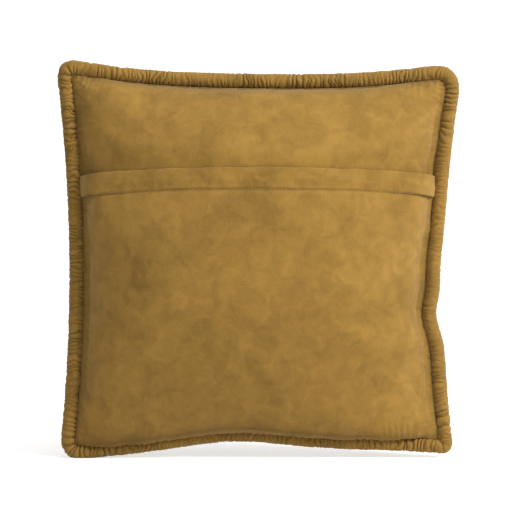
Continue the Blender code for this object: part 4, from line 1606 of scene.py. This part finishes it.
@dataclass
class Studio:
    """The pale floor, the lamps, the white surroundings and the camera."""

    target: Vector = field(default_factory=lambda: Vector((0.0006, 0.0, MIDDLE_Z)))
    distance: float = 2.60
    elevation: float = 2.0
    field_of_view: float = 14.3
    surroundings: float = 0.27
    lamps: tuple[Lamp, ...] = (
        Lamp("key", (2.1, -1.35, 1.70), 0.8, 74.0, (1.0, 0.985, 0.96)),
        Lamp("top", (0.2, -0.5, 2.4), 1.2, 18.0),
        Lamp("fill", (-1.8, -2.0, 0.9), 1.6, 3.0),
    )

    def build(self) -> None:
        """Sets the stage."""
        self.floor()
        self.world()
        for lamp in self.lamps:
            lamp.build(self.target)
        self.camera()
        bpy.context.scene.view_settings.view_transform = "Standard"

    def floor(self) -> None:
        """A pale sweep: flat under the pillow and rising behind it."""
        profile = [(-6.0, 0.0), (1.2, 0.0)]
        profile += [(1.2 + 1.4 * math.sin(a), 1.4 - 1.4 * math.cos(a))
                    for a in np.linspace(0, math.pi / 2, 24)[1:]]
        profile.append((2.6, 5.0))
        rows = np.array([[(x, y, z - 0.0004) for x in (-6.0, 6.0)] for y, z in profile])
        floor = new_piece("floor", rows, Grid(rows).faces())
        shop = Workshop("sweep", {})
        shop.set(Roughness=0.9)
        shop.shader.inputs["Base Color"].default_value = (0.90, 0.90, 0.90, 1.0)
        shop.shader.inputs["Emission Color"].default_value = (1.0, 1.0, 1.0, 1.0)
        path = shop.tree.nodes.new("ShaderNodeLightPath")
        glow = math_node(shop.tree, "MULTIPLY", path.outputs["Is Camera Ray"], 0.55)
        wire(shop.tree, (glow, shop.shader.inputs["Emission Strength"]))
        paint(floor, shop.material)

    def world(self) -> None:
        """White where the camera sees it, and dimmer as a light."""
        world = bpy.data.worlds.new("studio")
        world.use_nodes = True
        bpy.context.scene.world = world
        tree = world.node_tree
        sky = tree.nodes["Background"]
        sky.inputs["Color"].default_value = (1.0, 1.0, 1.0, 1.0)
        path = tree.nodes.new("ShaderNodeLightPath")
        seen = math_node(tree, "MULTIPLY", path.outputs["Is Camera Ray"], 1 - self.surroundings)
        wire(tree, (math_node(tree, "ADD", seen, self.surroundings), sky.inputs["Strength"]))

    def camera(self) -> None:
        """The photograph's view, nearly square on to the back."""
        data = bpy.data.cameras.new("camera")
        data.angle = math.radians(self.field_of_view)
        camera = bpy.data.objects.new("camera", data)
        lift = math.radians(self.elevation)
        camera.location = self.target + self.distance * Vector((0, -math.cos(lift), math.sin(lift)))
        camera.rotation_euler = (self.target - camera.location).to_track_quat("-Z", "Y").to_euler()
        bpy.context.collection.objects.link(camera)
        bpy.context.scene.camera = camera


# ---------------------------------------------------------------- assembly


PLAIN_NODES = {
    "perimeter_seam_thread": "thread",
    "seam_overlock_thread": "thread",
    "zip_upper_seam_thread": "thread",
    "insert_seam_thread": "thread",
    "zipper_upper_tape": "zip_tape",
    "zipper_lower_tape": "zip_tape",
    "zipper_upper_coil": "zip_coil",
    "zipper_lower_coil": "zip_coil",
    "zipper_top_stop_upper": "zip_metal",
    "zipper_top_stop_lower": "zip_metal",
    "zipper_bottom_stop": "zip_metal",
    "zipper_slider": "zip_metal",
    "zipper_pull_tab": "zip_metal",
    "care_label": "label",
}


def piping_sizes() -> tuple[float, float, float]:
    """The piping's radius, and its flange's half thickness and depth, from the CAD piping."""
    low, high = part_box("piping_cover")
    points = node_points("piping_cover")
    middle = (low[0] + high[0]) / 2
    near = points[(np.abs(points[:, 2] - 0.25) < 0.03) & (points[:, 0] < middle)]
    radius = float(near[:, 1].max())
    inner = near[near[:, 0] > near[:, 0].min() + 2.2 * radius]
    flange = float(np.abs(inner[:, 1]).max())
    return radius, flange, float(inner[:, 0].max() - near[:, 0].min() - 2 * radius)


def main() -> None:
    """Builds the pillow, sub-assembly by sub-assembly."""
    logging.basicConfig(level=logging.INFO)
    low, high = np.array(CAD_BOX[0]), np.array(CAD_BOX[1])
    radius, flange, flange_depth = piping_sizes()
    log.info("piping radius %.4f, flange %.4f by %.4f", radius, flange, flange_depth)
    outline = Outline(low, high)
    seam_inset = 2 * radius + 0.3 * MM
    zip_line = ZipLine(outline, seam_inset)
    finishes = all_finishes()

    cushion = Cushion(outline, zip_line, seam_inset, rim=flange + 1.5 * MM)
    cushion.inflate()
    for panel in (
        FrontPanel("front_velvet", "front_panel", cushion, Wrinkling(seed=3.0)),
        LowerBackPanel("lower_back_velvet", "back_lower_panel", cushion, Wrinkling(seed=14.0)),
        UpperBackPanel("upper_back_velvet", "back_upper_panel", cushion, Wrinkling(seed=25.0)),
    ):
        thing = panel.build()
        paint(thing, finishes["velvet"])
        log.info("built %s", thing.name)

    placket = Placket(zip_line)
    lap = placket.lap()
    paint(lap, finishes["velvet"])
    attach(lap, "pillow")
    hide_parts("placket_lap")
    placket.hem()
    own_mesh(lap)
    log.info("built %s", lap.name)
    stitches = placket.stitches()
    paint(stitches, finishes["thread"])
    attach(stitches, "pillow")
    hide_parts("placket_topstitch_thread")
    log.info("built %s", stitches.name)

    piping = Piping(outline, radius, flange, flange_depth)
    for thing, node, finish in (
        (piping.cover(), "piping_cover", "piping_velvet"),
        (piping.cord(), "piping_cord", "cord"),
    ):
        paint(thing, finishes[finish])
        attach(thing, "pillow")
        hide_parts(node)
        log.info("built %s", thing.name)

    for copy in (
        SoftCopy("insert_front_shell", "insert_front_cloth", 1, "insert_cloth", 0.965),
        SoftCopy("insert_back_shell", "insert_back_cloth", 1, "insert_cloth", 0.965),
        SoftCopy("insert_filling", "insert_fibre_fill", 2, "insert_fibre", 0.955),
    ):
        thing = copy.build()
        paint(thing, finishes[copy.slot])
        log.info("built %s", thing.name)

    for node, finish in PLAIN_NODES.items():
        paint(frame["nodes"][node], finishes[finish])

    Studio().build()
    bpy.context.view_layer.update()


if __name__ == "__main__":
    main()
